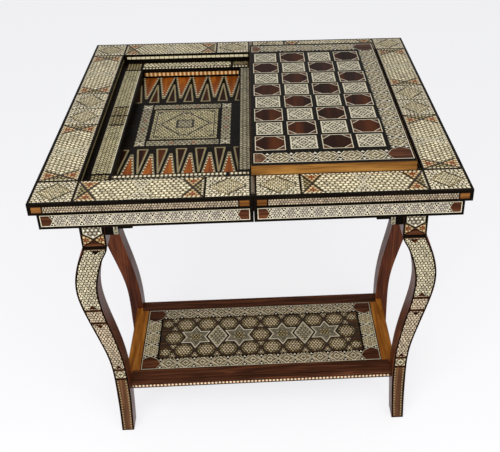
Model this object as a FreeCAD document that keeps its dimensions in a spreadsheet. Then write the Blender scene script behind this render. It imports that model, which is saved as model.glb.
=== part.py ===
import FreeCAD, Part
import os
import re
import Sketcher

# Games table with a fold-over swivel top. Open, its two leaves lie side by side across x;
# folded, the top turns a quarter about its pivot and lies along the base.
# Millimetres, z up, x across the open leaves, y from front to back, origin on the floor
# under the middle of the base.

SIZES = {
    # the two leaves of the top
    "top_height": 762,
    "leaf_width": 371,
    "leaf_depth": 740,
    "fold_gap": 1,
    "border_width": 73.5,
    "edge_lip": 4,
    "recess_depth": 18,
    "ledge_width": 47,
    "fold_ledge_width": 26,
    "well_depth": 22,
    "floor_thickness": 6,
    "bottom_thickness": 10,
    "skirt_setback": 10,
    "skirt_wall": 16,
    # inlaid veneers of the playing fields
    "veneer_thickness": 1.2,
    "point_field": 139,
    "amber_length": 113,
    "amber_width": 29,
    "walnut_length": 97,
    "walnut_width": 21,
    "chess_border": 53.7,
    "chess_end_border": 40.2,
    "chess_fold_border": 4.5,
    "dark_line": 4.5,
    "light_line": 8,
    # the two lift-out halves of the chess board
    "panel_clearance": 1,
    "panel_finger_gap": 6,
    "panel_drop": 0.5,
    "stack_gap": 0.3,
    "stack_shift": 3.5,
    # fold hinges
    "fold_lift": 0.3,
    "hinge_length": 56,
    "hinge_plate": 1.4,
    "hinge_margin": 3,
    "knuckle_radius": 3.4,
    "knuckle_clearance": 0.3,
    "knuckle_gap": 0.2,
    "pin_radius": 1.5,
    "running_clearance": 0.05,
    "screw_radius": 1.3,
    "screw_length": 14,
    "screw_head_radius": 2.4,
    "screw_head_drop": 0.2,
    # swivel
    "swivel_gap": 0.5,
    "pivot_rail_thickness": 24,
    "housing_depth": 6,
    "bolt_radius": 6,
    "bolt_head_radius": 15,
    "bolt_head_height": 5,
    "bolt_tail": 4,
    "washer_radius": 17,
    "washer_thickness": 2,
    "washer_gap": 0.2,
    "nut_radius": 11,
    "nut_height": 10,
    "peg_radius": 6,
    "peg_reach": 18,
    "peg_arm": 80,
    "stop_clearance": 0.3,
    # legs
    "end_overhang": 19,
    "side_overhang": 24.5,
    "leg_thickness": 40,
    "post_width": 50,
    "block_height": 175,
    "knee_drop": 125,
    "knee_swing": 32,
    "knee_width": 44.5,
    "ankle_inset": 7.5,
    "ankle_width": 31,
    "foot_inset": 2.8,
    "foot_width": 28,
    # aprons and the storage space between them
    "apron_thickness": 22,
    "apron_setback": 4,
    "apron_height": 105,
    "bracket_length": 55,
    "bracket_drop": 30,
    "toe_length": 26,
    "toe_drop": 14,
    "tenon_length": 20,
    "tenon_thickness": 10,
    "tenon_shoulder": 12,
    "joint_gap": 0.1,
    "store_floor_rise": 8,
    "store_floor_thickness": 8,
    "store_groove": 6,
    # shelf
    "shelf_height": 142,
    "shelf_rail_thickness": 22,
    "shelf_rail_width": 36,
    "shelf_setback": 16,
    "shelf_side_width": 31,
    "shelf_side_reach": 14,
    "shelf_panel_thickness": 12,
    "shelf_tongue": 6,
    "shelf_tongue_thickness": 5,
    "shelf_tenon_length": 12,
    "shelf_tenon_thickness": 10,
    "shelf_tenon_shoulder": 5,
    "leg_gap": 0.3,
    # how far every cut runs past the piece it opens
    "overrun": 1,
}

# Outline of a leg between its named places: (share of the way down, share of the sideways
# swing, share of the change in width).
BLOCK_TO_KNEE_SHARES = ((0.32, 0.52, 0.20), (0.72, 0.94, 0.55))
KNEE_TO_ANKLE_SHARES = ((0.19, 0.19, 0.31), (0.41, 0.55, 0.59), (0.69, 0.92, 0.98))
ANKLE_TO_FOOT_SHARES = ((0.50, 0.36, 0.50),)
# Places of the screws along a hinge plate.
SCREW_SHARES = (-0.34, 0, 0.34)

POINTS = 6
COLUMNS = 4
ROWS = 8
KNUCKLES = 5

doc = FreeCAD.newDocument("games_table")
sheet = doc.addObject("Spreadsheet::Sheet", "sizes")
for row, (alias, number) in enumerate(SIZES.items(), start=1):
    sheet.set("A%d" % row, alias.replace("_", " "))
    sheet.set("B%d" % row, str(number))
    sheet.setAlias("B%d" % row, alias)
doc.recompute()
size = {alias: float(sheet.get(alias)) for alias in SIZES}

# Levels of the top, from the playing surface down.
TOP = "top_height"
LEDGE = "(top_height - recess_depth)"
FLOOR = "(%s - well_depth)" % LEDGE
BOARD = "(%s - floor_thickness)" % FLOOR
UNDER = "(%s - bottom_thickness)" % BOARD
BASE_TOP = "(%s - swivel_gap)" % UNDER
HINGE_AXIS = "(top_height + fold_lift)"
HINGE_LOW = "(%s + hinge_margin)" % LEDGE
KNUCKLE_LOW = "(%s - knuckle_radius - knuckle_clearance)" % HINGE_AXIS
SCREW_LEVEL = "((%s + %s) / 2)" % (HINGE_LOW, KNUCKLE_LOW)
# Distances of a leaf from the fold line, outwards.
FOLD = "(fold_gap / 2)"
OUT = "(fold_gap / 2 + leaf_width)"
SKIRT_OUT = "(%s - skirt_setback)" % OUT
SKIRT_IN = "(%s - skirt_wall)" % SKIRT_OUT
WALL = "(%s - border_width)" % OUT
WELL_OUT = "(%s - ledge_width)" % WALL
WELL_IN = "(%s + fold_ledge_width)" % FOLD
# Distances of a leaf from its middle line, to the front and to the back.
HALF = "(leaf_depth / 2)"
SKIRT_HALF = "(%s - skirt_setback)" % HALF
CORE_HALF = "(%s - skirt_wall)" % SKIRT_HALF
WALL_HALF = "(%s - border_width)" % HALF
WELL_HALF = "(%s - ledge_width)" % WALL_HALF
HINGE_HALF = "((%s + %s) / 2)" % (HALF, WALL_HALF)
# A half chess board and its squares.
PANEL_IN = "(%s + panel_clearance)" % FOLD
PANEL_OUT = "(%s - panel_clearance - panel_finger_gap)" % WALL
PANEL_HALF = "(%s - panel_clearance)" % WALL_HALF
PANEL_THICKNESS = "(recess_depth - panel_drop)"
CHESS_WIDTH = "(%s - %s - chess_fold_border - chess_end_border)" % (PANEL_OUT, PANEL_IN)
COLUMN_PITCH = "(%s / %d)" % (CHESS_WIDTH, COLUMNS)
ROW_PITCH = "((2 * %s - 2 * chess_border) / %d)" % (PANEL_HALF, ROWS)
POINT_PITCH = "((%s - %s) / %d)" % (WELL_OUT, WELL_IN, POINTS)
# The base under the folded top.
BASE_END = "(leaf_depth / 2 - end_overhang)"
BASE_SIDE = "(leaf_width / 2 - side_overhang)"
POST_IN = "(%s - post_width)" % BASE_END
POST_MIDDLE = "(%s - post_width / 2)" % BASE_END
LEG_BACK = "(%s - leg_thickness)" % BASE_SIDE
APRON_OUT = "(%s - apron_setback)" % BASE_SIDE
APRON_IN = "(%s - apron_thickness)" % APRON_OUT
APRON_END_OUT = "(%s - apron_setback)" % BASE_END
APRON_END_IN = "(%s - apron_thickness)" % APRON_END_OUT
APRON_LOW = "(%s - apron_height)" % BASE_TOP
STORE_FLOOR_LOW = "(%s + store_floor_rise)" % APRON_LOW
PIVOT_RAIL_LOW = "(%s - pivot_rail_thickness)" % BASE_TOP
# The pivot lies as far from the fold line as from the middle line, so that a quarter turn
# brings the middle of the lower leaf over the middle of the base.
PIVOT = "((fold_gap / 2 + leaf_width / 2) / 2)"
# The side of the pivot rail stops the peg at the end of the turn, the rear apron at its start.
PEG_ROOM = "(peg_radius + stop_clearance)"
PEG_Y = "(%s - %s)" % (APRON_IN, PEG_ROOM)
PIVOT_RAIL_HALF = "(%s - %s - %s)" % (PEG_Y, PIVOT, PEG_ROOM)
# The shelf between the ankles.
ANKLE_IN = "(%s - ankle_inset - ankle_width / 2)" % POST_MIDDLE
SHELF_END = "(%s - leg_gap)" % ANKLE_IN
SHELF_HALF = "(%s - shelf_setback)" % BASE_SIDE
SHELF_OPENING = "(%s - shelf_rail_width)" % SHELF_HALF
SHELF_SIDE_OUT = "(%s + shelf_side_reach)" % ANKLE_IN
SHELF_SIDE_IN = "(%s - shelf_side_width)" % SHELF_SIDE_OUT
SHELF_LOW = "(shelf_height - shelf_rail_thickness)"
SHELF_PANEL_LOW = "(shelf_height - shelf_panel_thickness)"
TONGUE_LOW = "(shelf_height - shelf_panel_thickness / 2 - shelf_tongue_thickness / 2)"
TONGUE_HIGH = "(%s + shelf_tongue_thickness)" % TONGUE_LOW

ALONG_X = FreeCAD.Rotation(FreeCAD.Vector(0, 1, 0), 90)
ALONG_Y = FreeCAD.Rotation(FreeCAD.Vector(1, 0, 0), -90)
HALF_TURN = FreeCAD.Rotation(FreeCAD.Vector(0, 0, 1), 180)
STILL = FreeCAD.Rotation()

subparts = []


def linked(formula):
    """A formula in size names, as an expression on the sheet."""
    return re.sub(r"[a-z][a-z_]+", lambda word: "sizes." + word.group(), formula)


def bind(item, **formulas):
    for name, formula in formulas.items():
        item.setExpression(name, linked(formula))


def put(item, x, y, z):
    for axis, formula in (("x", x), ("y", y), ("z", z)):
        item.setExpression("Placement.Base." + axis, linked(formula))


def subpart(name, item):
    item.Label = name
    subparts.append(item)
    return item


def spread(span, sign):
    """A span on the positive side of an axis, or its mirror image."""
    low, high = span
    return span if sign > 0 else ("-(%s)" % high, "-(%s)" % low)


def middle(half):
    return ("-(%s)" % half, half)


def box(name, x, y, z):
    """A board between two planes on each axis."""
    made = doc.addObject("Part::Box", name)
    sides = {
        side: "(%s) - (%s)" % (high, low)
        for side, (low, high) in (("Length", x), ("Width", y), ("Height", z))
    }
    bind(made, **sides)
    put(made, x[0], y[0], z[0])
    return made


def rod(name, radius, length, x, y, z, turn=STILL):
    made = doc.addObject("Part::Cylinder", name)
    made.Placement.Rotation = turn
    bind(made, Radius=radius, Height=length)
    put(made, x, y, z)
    return made


def group(name, items):
    """Separate solids of one kind as one sub-part."""
    made = doc.addObject("Part::Compound", name)
    made.Links = items
    return made


def fuse(name, items):
    made = doc.addObject("Part::MultiFuse", name)
    made.Shapes = items
    made.Refine = True
    return made


def cut(name, base, tools):
    made = doc.addObject("Part::Cut", name)
    made.Base = base
    made.Tool = tools[0] if len(tools) == 1 else fuse(name + "_cuts", tools)
    return made


def point(name, x, y, z, turn, left, right, length):
    """A flat triangle let into the floor, its base on the line that it starts from."""
    made = doc.addObject("Part::Wedge", name)
    made.Placement.Rotation = turn
    bind(made, Xmin=left, Xmax=right, X2min="0", X2max="0")
    bind(made, Ymin="0", Ymax=length)
    bind(made, Zmin="0", Zmax="veneer_thickness", Z2min="0", Z2max="veneer_thickness")
    put(made, x, y, z)
    return made


def points(prefix, sign):
    """The points of half a backgammon field: amber ones from the walls of the well, walnut
    ones between them from the middle of the field."""
    level = "%s - veneer_thickness" % FLOOR
    amber = []
    walnut = []
    for end in (-1, 1):
        inward = HALF_TURN if end > 0 else STILL
        outward = STILL if end > 0 else HALF_TURN
        wall = "%d * %s" % (end, WELL_HALF)
        field = "%d * (%s - point_field)" % (end, WELL_HALF)
        for place in range(POINTS):
            x = "%d * (%s + %g * %s)" % (sign, WELL_IN, place + 0.5, POINT_PITCH)
            name = "%s_amber_%d_%d" % (prefix, end + 1, place)
            left, right = "-amber_width / 2", "amber_width / 2"
            amber.append(point(name, x, wall, level, inward, left, right, "amber_length"))
        for place in range(POINTS + 1):
            x = "%d * (%s + %d * %s)" % (sign, WELL_IN, place, POINT_PITCH)
            name = "%s_walnut_%d_%d" % (prefix, end + 1, place)
            # the first and the last are halves against the side walls
            facing = sign if end > 0 else -sign
            start = "0" if place == 0 else "-walnut_width / 2"
            stop = "0" if place == POINTS else "walnut_width / 2"
            left, right = (start, stop) if facing > 0 else ("-(%s)" % stop, "-(%s)" % start)
            walnut.append(point(name, x, field, level, outward, left, right, "walnut_length"))
    return group(prefix + "_amber_points", amber), group(prefix + "_walnut_points", walnut)


def hinge_span(end):
    centre = "%d * %s" % (end, HINGE_HALF)
    return ("(%s - hinge_length / 2)" % centre, "(%s + hinge_length / 2)" % centre)


def hinge_bore(name, end, radius):
    low, high = hinge_span(end)
    return rod(name, radius, "hinge_length", "0", low, HINGE_AXIS, ALONG_Y)


def screw_rod(name, sign, end, share, radius, start, length):
    """A round length across the fold face of a leaf, on a screw's line."""
    y = "%d * %s + %g * hinge_length" % (end, HINGE_HALF, share)
    near = "%d * (%s)" % (sign, start)
    first = near if sign > 0 else "%s - (%s)" % (near, length)
    return rod(name, radius, length, first, y, SCREW_LEVEL, ALONG_X)


def border_end(prefix, sign, end):
    """Front or rear board of the border, rebated over the skirt, with its hinge seat."""
    name = "%s_border_%s" % (prefix, "rear" if end > 0 else "front")
    low = "(%s - edge_lip)" % LEDGE
    blank = box(
        name + "_blank", spread((FOLD, OUT), sign), spread((WALL_HALF, HALF), end), (low, TOP)
    )
    rebate = box(
        name + "_rebate",
        spread(("%s - overrun" % FOLD, SKIRT_OUT), sign),
        spread(("%s - overrun" % WALL_HALF, SKIRT_HALF), end),
        ("%s - overrun" % low, LEDGE),
    )
    seat = box(
        name + "_seat",
        spread(("%s - overrun" % FOLD, "%s + hinge_plate" % FOLD), sign),
        hinge_span(end),
        (HINGE_LOW, "%s + overrun" % TOP),
    )
    groove = hinge_bore(name + "_groove", end, "knuckle_radius + knuckle_clearance")
    holes = [
        screw_rod(
            "%s_hole_%d" % (name, place),
            sign,
            end,
            share,
            "screw_radius + running_clearance",
            FOLD,
            "screw_length + overrun",
        )
        for place, share in enumerate(SCREW_SHARES)
    ]
    return subpart(name, cut(name, blank, [rebate, seat, groove] + holes))


def hinge_plates(prefix, sign):
    """The two plates on one leaf, with every other knuckle."""
    plates = []
    for end in (-1, 1):
        name = "%s_plate_%d" % (prefix, end + 1)
        x = spread((FOLD, "%s + hinge_plate" % FOLD), sign)
        low, high = hinge_span(end)
        pieces = [box(name + "_flat", x, (low, high), (HINGE_LOW, KNUCKLE_LOW))]
        for place in range(0 if sign > 0 else 1, KNUCKLES, 2):
            start = "%s + %d * hinge_length / %d + knuckle_gap / 2" % (low, place, KNUCKLES)
            length = "hinge_length / %d - knuckle_gap" % KNUCKLES
            stop = "%s + %s" % (start, length)
            tongue = "%s_tongue_%d" % (name, place)
            pieces.append(box(tongue, x, (start, stop), (KNUCKLE_LOW, HINGE_AXIS)))
            knuckle = "%s_knuckle_%d" % (name, place)
            pieces.append(
                rod(knuckle, "knuckle_radius", length, "0", start, HINGE_AXIS, ALONG_Y)
            )
        holes = [hinge_bore(name + "_bore", end, "pin_radius + running_clearance")]
        for place, share in enumerate(SCREW_SHARES):
            hole = "%s_hole_%d" % (name, place)
            radius = "screw_head_radius + running_clearance"
            holes.append(
                screw_rod(
                    hole,
                    sign,
                    end,
                    share,
                    radius,
                    "%s - overrun" % FOLD,
                    "hinge_plate + 2 * overrun",
                )
            )
        plates.append(cut(name, fuse(name + "_joined", pieces), holes))
    return subpart(prefix + "_hinge_plates", group(prefix + "_hinge_plates", plates))


def hinge_screws(prefix, sign):
    screws = []
    for end in (-1, 1):
        for place, share in enumerate(SCREW_SHARES):
            name = "%s_screw_%d_%d" % (prefix, end + 1, place)
            face = "%s + screw_head_drop" % FOLD
            seat = "%s + hinge_plate" % FOLD
            head = screw_rod(
                name + "_head",
                sign,
                end,
                share,
                "screw_head_radius",
                face,
                "hinge_plate - screw_head_drop",
            )
            shank = screw_rod(
                name + "_shank",
                sign,
                end,
                share,
                "screw_radius",
                seat,
                "screw_length - hinge_plate",
            )
            screws.append(fuse(name, [head, shank]))
    return subpart(prefix + "_hinge_screws", group(prefix + "_hinge_screws", screws))


def leaf(prefix, sign, floor_holes):
    """One leaf: a shallow box of skirt, bottom and ledge boards under an inlaid border."""

    def board(name, u, y, z):
        return box(prefix + "_" + name, spread(u, sign), y, z)

    bottom = board(
        "bottom_board" if not floor_holes else "bottom_blank",
        (WELL_IN, SKIRT_IN),
        middle(CORE_HALF),
        (UNDER, BOARD),
    )
    if floor_holes:
        bottom = cut(prefix + "_bottom_board", bottom, floor_holes)
    subpart(prefix + "_bottom_board", bottom)
    floor = board("floor_blank", (WELL_IN, SKIRT_IN), middle(CORE_HALF), (BOARD, FLOOR))
    amber, walnut = points(prefix, sign)
    inlays = group(prefix + "_points", [amber, walnut])
    subpart(prefix + "_well_floor", cut(prefix + "_well_floor", floor, [inlays]))
    subpart(prefix + "_amber_points", amber)
    subpart(prefix + "_walnut_points", walnut)
    for end, word in ((-1, "front"), (1, "rear")):
        ledge = spread((WELL_HALF, CORE_HALF), end)
        subpart(
            "%s_ledge_%s" % (prefix, word),
            board("ledge_" + word, (WELL_IN, SKIRT_IN), ledge, (FLOOR, LEDGE)),
        )
        skirt = spread((CORE_HALF, SKIRT_HALF), end)
        subpart(
            "%s_skirt_%s" % (prefix, word),
            board("skirt_" + word, (FOLD, SKIRT_OUT), skirt, (UNDER, LEDGE)),
        )
        border_end(prefix, sign, end)
    subpart(
        prefix + "_ledge_outer",
        board("ledge_outer", (WELL_OUT, SKIRT_IN), middle(WELL_HALF), (FLOOR, LEDGE)),
    )
    subpart(
        prefix + "_skirt_outer",
        board("skirt_outer", (SKIRT_IN, SKIRT_OUT), middle(CORE_HALF), (UNDER, LEDGE)),
    )
    subpart(
        prefix + "_fold_rail",
        board("fold_rail", (FOLD, WELL_IN), middle(CORE_HALF), (UNDER, LEDGE)),
    )
    low = "(%s - edge_lip)" % LEDGE
    blank = board("border_outer_blank", (WALL, OUT), middle(WALL_HALF), (low, TOP))
    rebate = board(
        "border_outer_rebate",
        ("%s - overrun" % WALL, SKIRT_OUT),
        middle("%s + overrun" % WALL_HALF),
        ("%s - overrun" % low, LEDGE),
    )
    subpart(prefix + "_border_outer", cut(prefix + "_border_outer", blank, [rebate]))
    hinge_plates(prefix, sign)
    hinge_screws(prefix, sign)


def half_chess_board(prefix, low, shift):
    """Half a chess board, its squares let into the top of a lift-out panel."""
    high = "(%s + %s)" % (low, PANEL_THICKNESS)
    near = "(%s - %s)" % (PANEL_IN, shift)
    far = "(%s - %s)" % (PANEL_OUT, shift)
    blank = box(prefix + "_blank", (near, far), middle(PANEL_HALF), (low, high))
    dark = []
    light = []
    for column in range(COLUMNS):
        for line in range(ROWS):
            is_dark = (column + line) % 2 == 0
            margin = "dark_line" if is_dark else "light_line"
            x = "(%s + chess_fold_border + %g * %s)" % (near, column + 0.5, COLUMN_PITCH)
            y = "(%g * %s)" % (line - (ROWS - 1) / 2, ROW_PITCH)
            reach_x = "(%s - %s) / 2" % (COLUMN_PITCH, margin)
            reach_y = "(%s - %s) / 2" % (ROW_PITCH, margin)
            square = box(
                "%s_square_%d_%d" % (prefix, column, line),
                ("%s - %s" % (x, reach_x), "%s + %s" % (x, reach_x)),
                ("%s - %s" % (y, reach_y), "%s + %s" % (y, reach_y)),
                ("%s - veneer_thickness" % high, high),
            )
            (dark if is_dark else light).append(square)
    darks = subpart(prefix + "_dark_squares", group(prefix + "_dark_squares", dark))
    lights = subpart(prefix + "_light_squares", group(prefix + "_light_squares", light))
    squares = group(prefix + "_squares", [darks, lights])
    subpart(prefix + "_board", cut(prefix + "_board", blank, [squares]))


def between(upper, lower, shares):
    """Places of a leg's outline between two named ones."""
    return [
        tuple(a + share * (b - a) for a, b, share in zip(upper, lower, triple))
        for triple in shares
    ]


def leg_blank(name, end):
    """A leg sawn from a board: square block, knee, ankle and foot, seen from the front."""
    block_low = leg_levels["block"]
    block = (block_low, 0, size["post_width"])
    knee = (block_low - size["knee_drop"], size["knee_swing"], size["knee_width"])
    ankle = (leg_levels["ankle"], -size["ankle_inset"], size["ankle_width"])
    foot = (0, -size["foot_inset"], size["foot_width"])
    places = [block] + between(block, knee, BLOCK_TO_KNEE_SHARES)
    places += [knee] + between(knee, ankle, KNEE_TO_ANKLE_SHARES)
    places += [ankle] + between(ankle, foot, ANKLE_TO_FOOT_SHARES) + [foot]
    centre = leg_levels["centre"]
    outer = [FreeCAD.Vector(centre + swing + wide / 2, z, 0) for z, swing, wide in places]
    inner = [FreeCAD.Vector(centre + swing - wide / 2, z, 0) for z, swing, wide in places]
    top_outer = FreeCAD.Vector(outer[0].x, leg_levels["top"], 0)
    top_inner = FreeCAD.Vector(inner[0].x, leg_levels["top"], 0)
    outer_curve = Part.BSplineCurve()
    outer_curve.interpolate(outer)
    inner_curve = Part.BSplineCurve()
    inner_curve.interpolate(inner[::-1])

    body = doc.addObject("PartDesign::Body", name)
    sketch = body.newObject("Sketcher::SketchObject", name + "_outline")
    plane = [item for item in body.Origin.OriginFeatures if item.Role == "XZ_Plane"][0]
    sketch.AttachmentSupport = [(plane, "")]
    sketch.MapMode = "FlatFace"
    sketch.addGeometry(
        [
            Part.LineSegment(top_inner, top_outer),
            Part.LineSegment(top_outer, outer[0]),
            outer_curve,
            Part.LineSegment(outer[-1], inner[-1]),
            inner_curve,
            Part.LineSegment(inner[0], top_inner),
        ],
        False,
    )
    for first, second in ((0, 1), (1, 2), (2, 3), (3, 4), (4, 5), (5, 0)):
        sketch.addConstraint(Sketcher.Constraint("Coincident", first, 2, second, 1))
    for line, way in ((0, "Horizontal"), (1, "Vertical"), (3, "Horizontal"), (5, "Vertical")):
        sketch.addConstraint(Sketcher.Constraint(way, line))
    block_bottom = "%s - block_height" % BASE_TOP
    foot_middle = "%s - foot_inset" % POST_MIDDLE
    for way, line, corner, formula in (
        ("DistanceX", 0, 2, BASE_END),
        ("DistanceY", 0, 2, BASE_TOP),
        ("DistanceX", 0, 1, POST_IN),
        ("DistanceY", 1, 2, block_bottom),
        ("DistanceY", 5, 1, block_bottom),
        ("DistanceX", 3, 1, "%s + foot_width / 2" % foot_middle),
        ("DistanceX", 3, 2, "%s - foot_width / 2" % foot_middle),
    ):
        at = sketch.getPoint(line, corner)
        reach = at.x if way == "DistanceX" else at.y
        row = sketch.addConstraint(Sketcher.Constraint(way, -1, 1, line, corner, reach))
        sketch.setExpression("Constraints[%d]" % row, linked(formula))
    pad = body.newObject("PartDesign::Pad", name + "_pad")
    pad.Profile = sketch
    bind(pad, Length="leg_thickness")
    put(body, "0", BASE_SIDE if end > 0 else "-(%s)" % LEG_BACK, "0")
    return body


def tenon_spans(grow):
    """Thickness and height of an apron's tenon, or of its mortise."""
    thick = "(tenon_thickness / 2%s)" % grow
    low = "%s + tenon_shoulder%s" % (APRON_LOW, grow.replace("+", "-"))
    high = "%s - tenon_shoulder%s" % (BASE_TOP, grow)
    return thick, (low, high)


def apron_tenon(name, sign, end, grow=""):
    """Tenon of a front or rear apron in one post; grown, the mortise for it."""
    thick, height = tenon_spans(grow)
    line = "((%s + %s) / 2)" % (APRON_OUT, APRON_IN)
    x = spread((POST_IN, "%s + tenon_length%s" % (POST_IN, grow)), sign)
    y = spread(("%s - %s" % (line, thick), "%s + %s" % (line, thick)), end)
    return box(name, x, y, height)


def side_tenon(name, sign, end, grow=""):
    """Tenon of a side apron in one post; grown, the mortise for it."""
    thick, height = tenon_spans(grow)
    line = "((%s + %s) / 2)" % (APRON_END_OUT, APRON_END_IN)
    x = spread(("%s - %s" % (line, thick), "%s + %s" % (line, thick)), sign)
    y = spread((LEG_BACK, "%s + tenon_length%s" % (LEG_BACK, grow)), end)
    return box(name, x, y, height)


def shelf_tenon(name, sign, end, grow=""):
    """Tenon of a front or rear shelf rail in one leg; grown, the mortise for it."""
    thick = "(shelf_tenon_thickness / 2%s)" % grow
    line = "((%s + %s) / 2)" % (SHELF_HALF, LEG_BACK)
    shrink = grow.replace("+", "-")
    x = spread((SHELF_END, "%s + shelf_tenon_length%s" % (SHELF_END, grow)), sign)
    y = spread(("%s - %s" % (line, thick), "%s + %s" % (line, thick)), end)
    low = "%s + shelf_tenon_shoulder%s" % (SHELF_LOW, shrink)
    high = "shelf_height - shelf_tenon_shoulder%s" % grow
    return box(name, x, y, (low, high))


# Legs: the right-hand ones are sawn, the left-hand ones are their mirror images.
leg_sheet = {
    "top": size["top_height"] - size["recess_depth"] - size["well_depth"]
    - size["floor_thickness"] - size["bottom_thickness"] - size["swivel_gap"],
    "centre": size["leaf_depth"] / 2 - size["end_overhang"] - size["post_width"] / 2,
    "ankle": size["shelf_height"] - size["shelf_rail_thickness"] / 2,
}
leg_levels = dict(leg_sheet, block=leg_sheet["top"] - size["block_height"])
for end, word in ((-1, "front"), (1, "rear")):
    sawn = leg_blank("leg_%s_sawn" % word, end)
    doc.recompute()
    for sign, side in ((-1, "left"), (1, "right")):
        name = "leg_%s_%s" % (word, side)
        blank = sawn
        if sign < 0:
            blank = doc.addObject("Part::Mirroring", name + "_blank")
            blank.Source = sawn
            blank.Normal = FreeCAD.Vector(1, 0, 0)
        mortises = [
            apron_tenon(name + "_mortise", sign, end, " + joint_gap"),
            side_tenon(name + "_side_mortise", sign, end, " + joint_gap"),
            shelf_tenon(name + "_shelf_mortise", sign, end, " + joint_gap"),
        ]
        subpart(name, cut(name, blank, [group(name + "_mortises", mortises)]))

# Front and rear aprons, with stepped brackets beside the legs, a groove for the floor of the
# storage space and a housing for the pivot rail.
pivot_rail_x = ("%s - %s" % (PIVOT, PIVOT_RAIL_HALF), "%s + %s" % (PIVOT, PIVOT_RAIL_HALF))
for end, word in ((-1, "front"), (1, "rear")):
    name = "apron_" + word
    y = spread((APRON_IN, APRON_OUT), end)
    pieces = [box(name + "_rail", middle(POST_IN), y, (APRON_LOW, BASE_TOP))]
    for sign, side in ((-1, "left"), (1, "right")):
        at = "%s_%s" % (name, side)
        step = "(%s - bracket_drop)" % APRON_LOW
        bracket = spread(("%s - bracket_length" % POST_IN, POST_IN), sign)
        pieces.append(box(at + "_bracket", bracket, y, (step, APRON_LOW)))
        toe = spread(("%s - toe_length" % POST_IN, POST_IN), sign)
        pieces.append(box(at + "_toe", toe, y, ("%s - toe_drop" % step, step)))
        pieces.append(apron_tenon(at + "_tenon", sign, end))
    groove = box(
        name + "_groove",
        middle("%s + overrun" % POST_IN),
        spread(("%s - overrun" % APRON_IN, "%s + store_groove" % APRON_IN), end),
        (STORE_FLOOR_LOW, "%s + store_floor_thickness" % STORE_FLOOR_LOW),
    )
    housing = box(
        name + "_housing",
        pivot_rail_x,
        spread(("%s - overrun" % APRON_IN, "%s + housing_depth" % APRON_IN), end),
        (PIVOT_RAIL_LOW, "%s + overrun" % BASE_TOP),
    )
    cuts = [group(name + "_openings", [groove, housing])]
    subpart(name, cut(name, fuse(name + "_blank", pieces), cuts))

for sign, side in ((-1, "left"), (1, "right")):
    name = "apron_" + side
    x = spread((APRON_END_IN, APRON_END_OUT), sign)
    pieces = [box(name + "_rail", x, middle(LEG_BACK), (APRON_LOW, BASE_TOP))]
    for end, word in ((-1, "front"), (1, "rear")):
        pieces.append(side_tenon("%s_%s_tenon" % (name, word), sign, end))
    subpart(name, fuse(name, pieces))

# Floor of the storage space, notched round the posts.
floor_reach = "(%s + store_groove - joint_gap)" % APRON_IN
store = box(
    "store_floor_blank",
    middle("(%s - joint_gap)" % APRON_END_IN),
    middle(floor_reach),
    (STORE_FLOOR_LOW, "%s + store_floor_thickness" % STORE_FLOOR_LOW),
)
notches = []
for end in (-1, 1):
    for sign in (-1, 1):
        notches.append(
            box(
                "store_floor_notch_%d_%d" % (end + 1, sign + 1),
                spread(("%s - joint_gap" % POST_IN, "%s + overrun" % APRON_END_IN), sign),
                spread(("%s - joint_gap" % LEG_BACK, "%s + overrun" % floor_reach), end),
                (
                    "%s - overrun" % STORE_FLOOR_LOW,
                    "%s + store_floor_thickness + overrun" % STORE_FLOOR_LOW,
                ),
            )
        )
subpart("store_floor", cut("store_floor", store, [group("store_floor_notches", notches)]))

# Pivot rail with its bore, and the bolt, washer and nut that hold the top down on it.
rail = box(
    "pivot_rail_blank",
    pivot_rail_x,
    middle("(%s + housing_depth - joint_gap)" % APRON_IN),
    (PIVOT_RAIL_LOW, BASE_TOP),
)
bore = rod(
    "pivot_rail_bore",
    "bolt_radius + running_clearance",
    "pivot_rail_thickness + 2 * overrun",
    PIVOT,
    PIVOT,
    "%s - overrun" % PIVOT_RAIL_LOW,
)
subpart("pivot_rail", cut("pivot_rail", rail, [bore]))

washer_low = "(%s - washer_gap - washer_thickness)" % PIVOT_RAIL_LOW
nut_low = "(%s - nut_height)" % washer_low
bolt_low = "(%s - bolt_tail)" % nut_low
head_low = "(%s - bolt_head_height)" % BOARD
shank_length = "%s - %s" % (head_low, bolt_low)
shank = rod("pivot_bolt_shank", "bolt_radius", shank_length, PIVOT, PIVOT, bolt_low)
head = rod("pivot_bolt_head", "bolt_head_radius", "bolt_head_height", PIVOT, PIVOT, head_low)
subpart("pivot_bolt", fuse("pivot_bolt", [shank, head]))

washer = rod("pivot_washer_disc", "washer_radius", "washer_thickness", PIVOT, PIVOT, washer_low)
nut = doc.addObject("Part::Prism", "pivot_nut_hexagon")
nut.Polygon = 6
bind(nut, Circumradius="nut_radius", Height="nut_height")
put(nut, PIVOT, PIVOT, nut_low)
for name, blank, low, height in (
    ("pivot_washer", washer, washer_low, "washer_thickness"),
    ("pivot_nut", nut, nut_low, "nut_height"),
):
    hole = rod(
        name + "_hole",
        "bolt_radius + running_clearance",
        "%s + 2 * overrun" % height,
        PIVOT,
        PIVOT,
        "%s - overrun" % low,
    )
    subpart(name, cut(name, blank, [hole]))

peg_x = "%s + peg_arm" % PIVOT
peg_low = "(%s - peg_reach)" % UNDER
subpart(
    "stop_peg", rod("stop_peg", "peg_radius", "%s - %s" % (BOARD, peg_low), peg_x, PEG_Y, peg_low)
)

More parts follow.
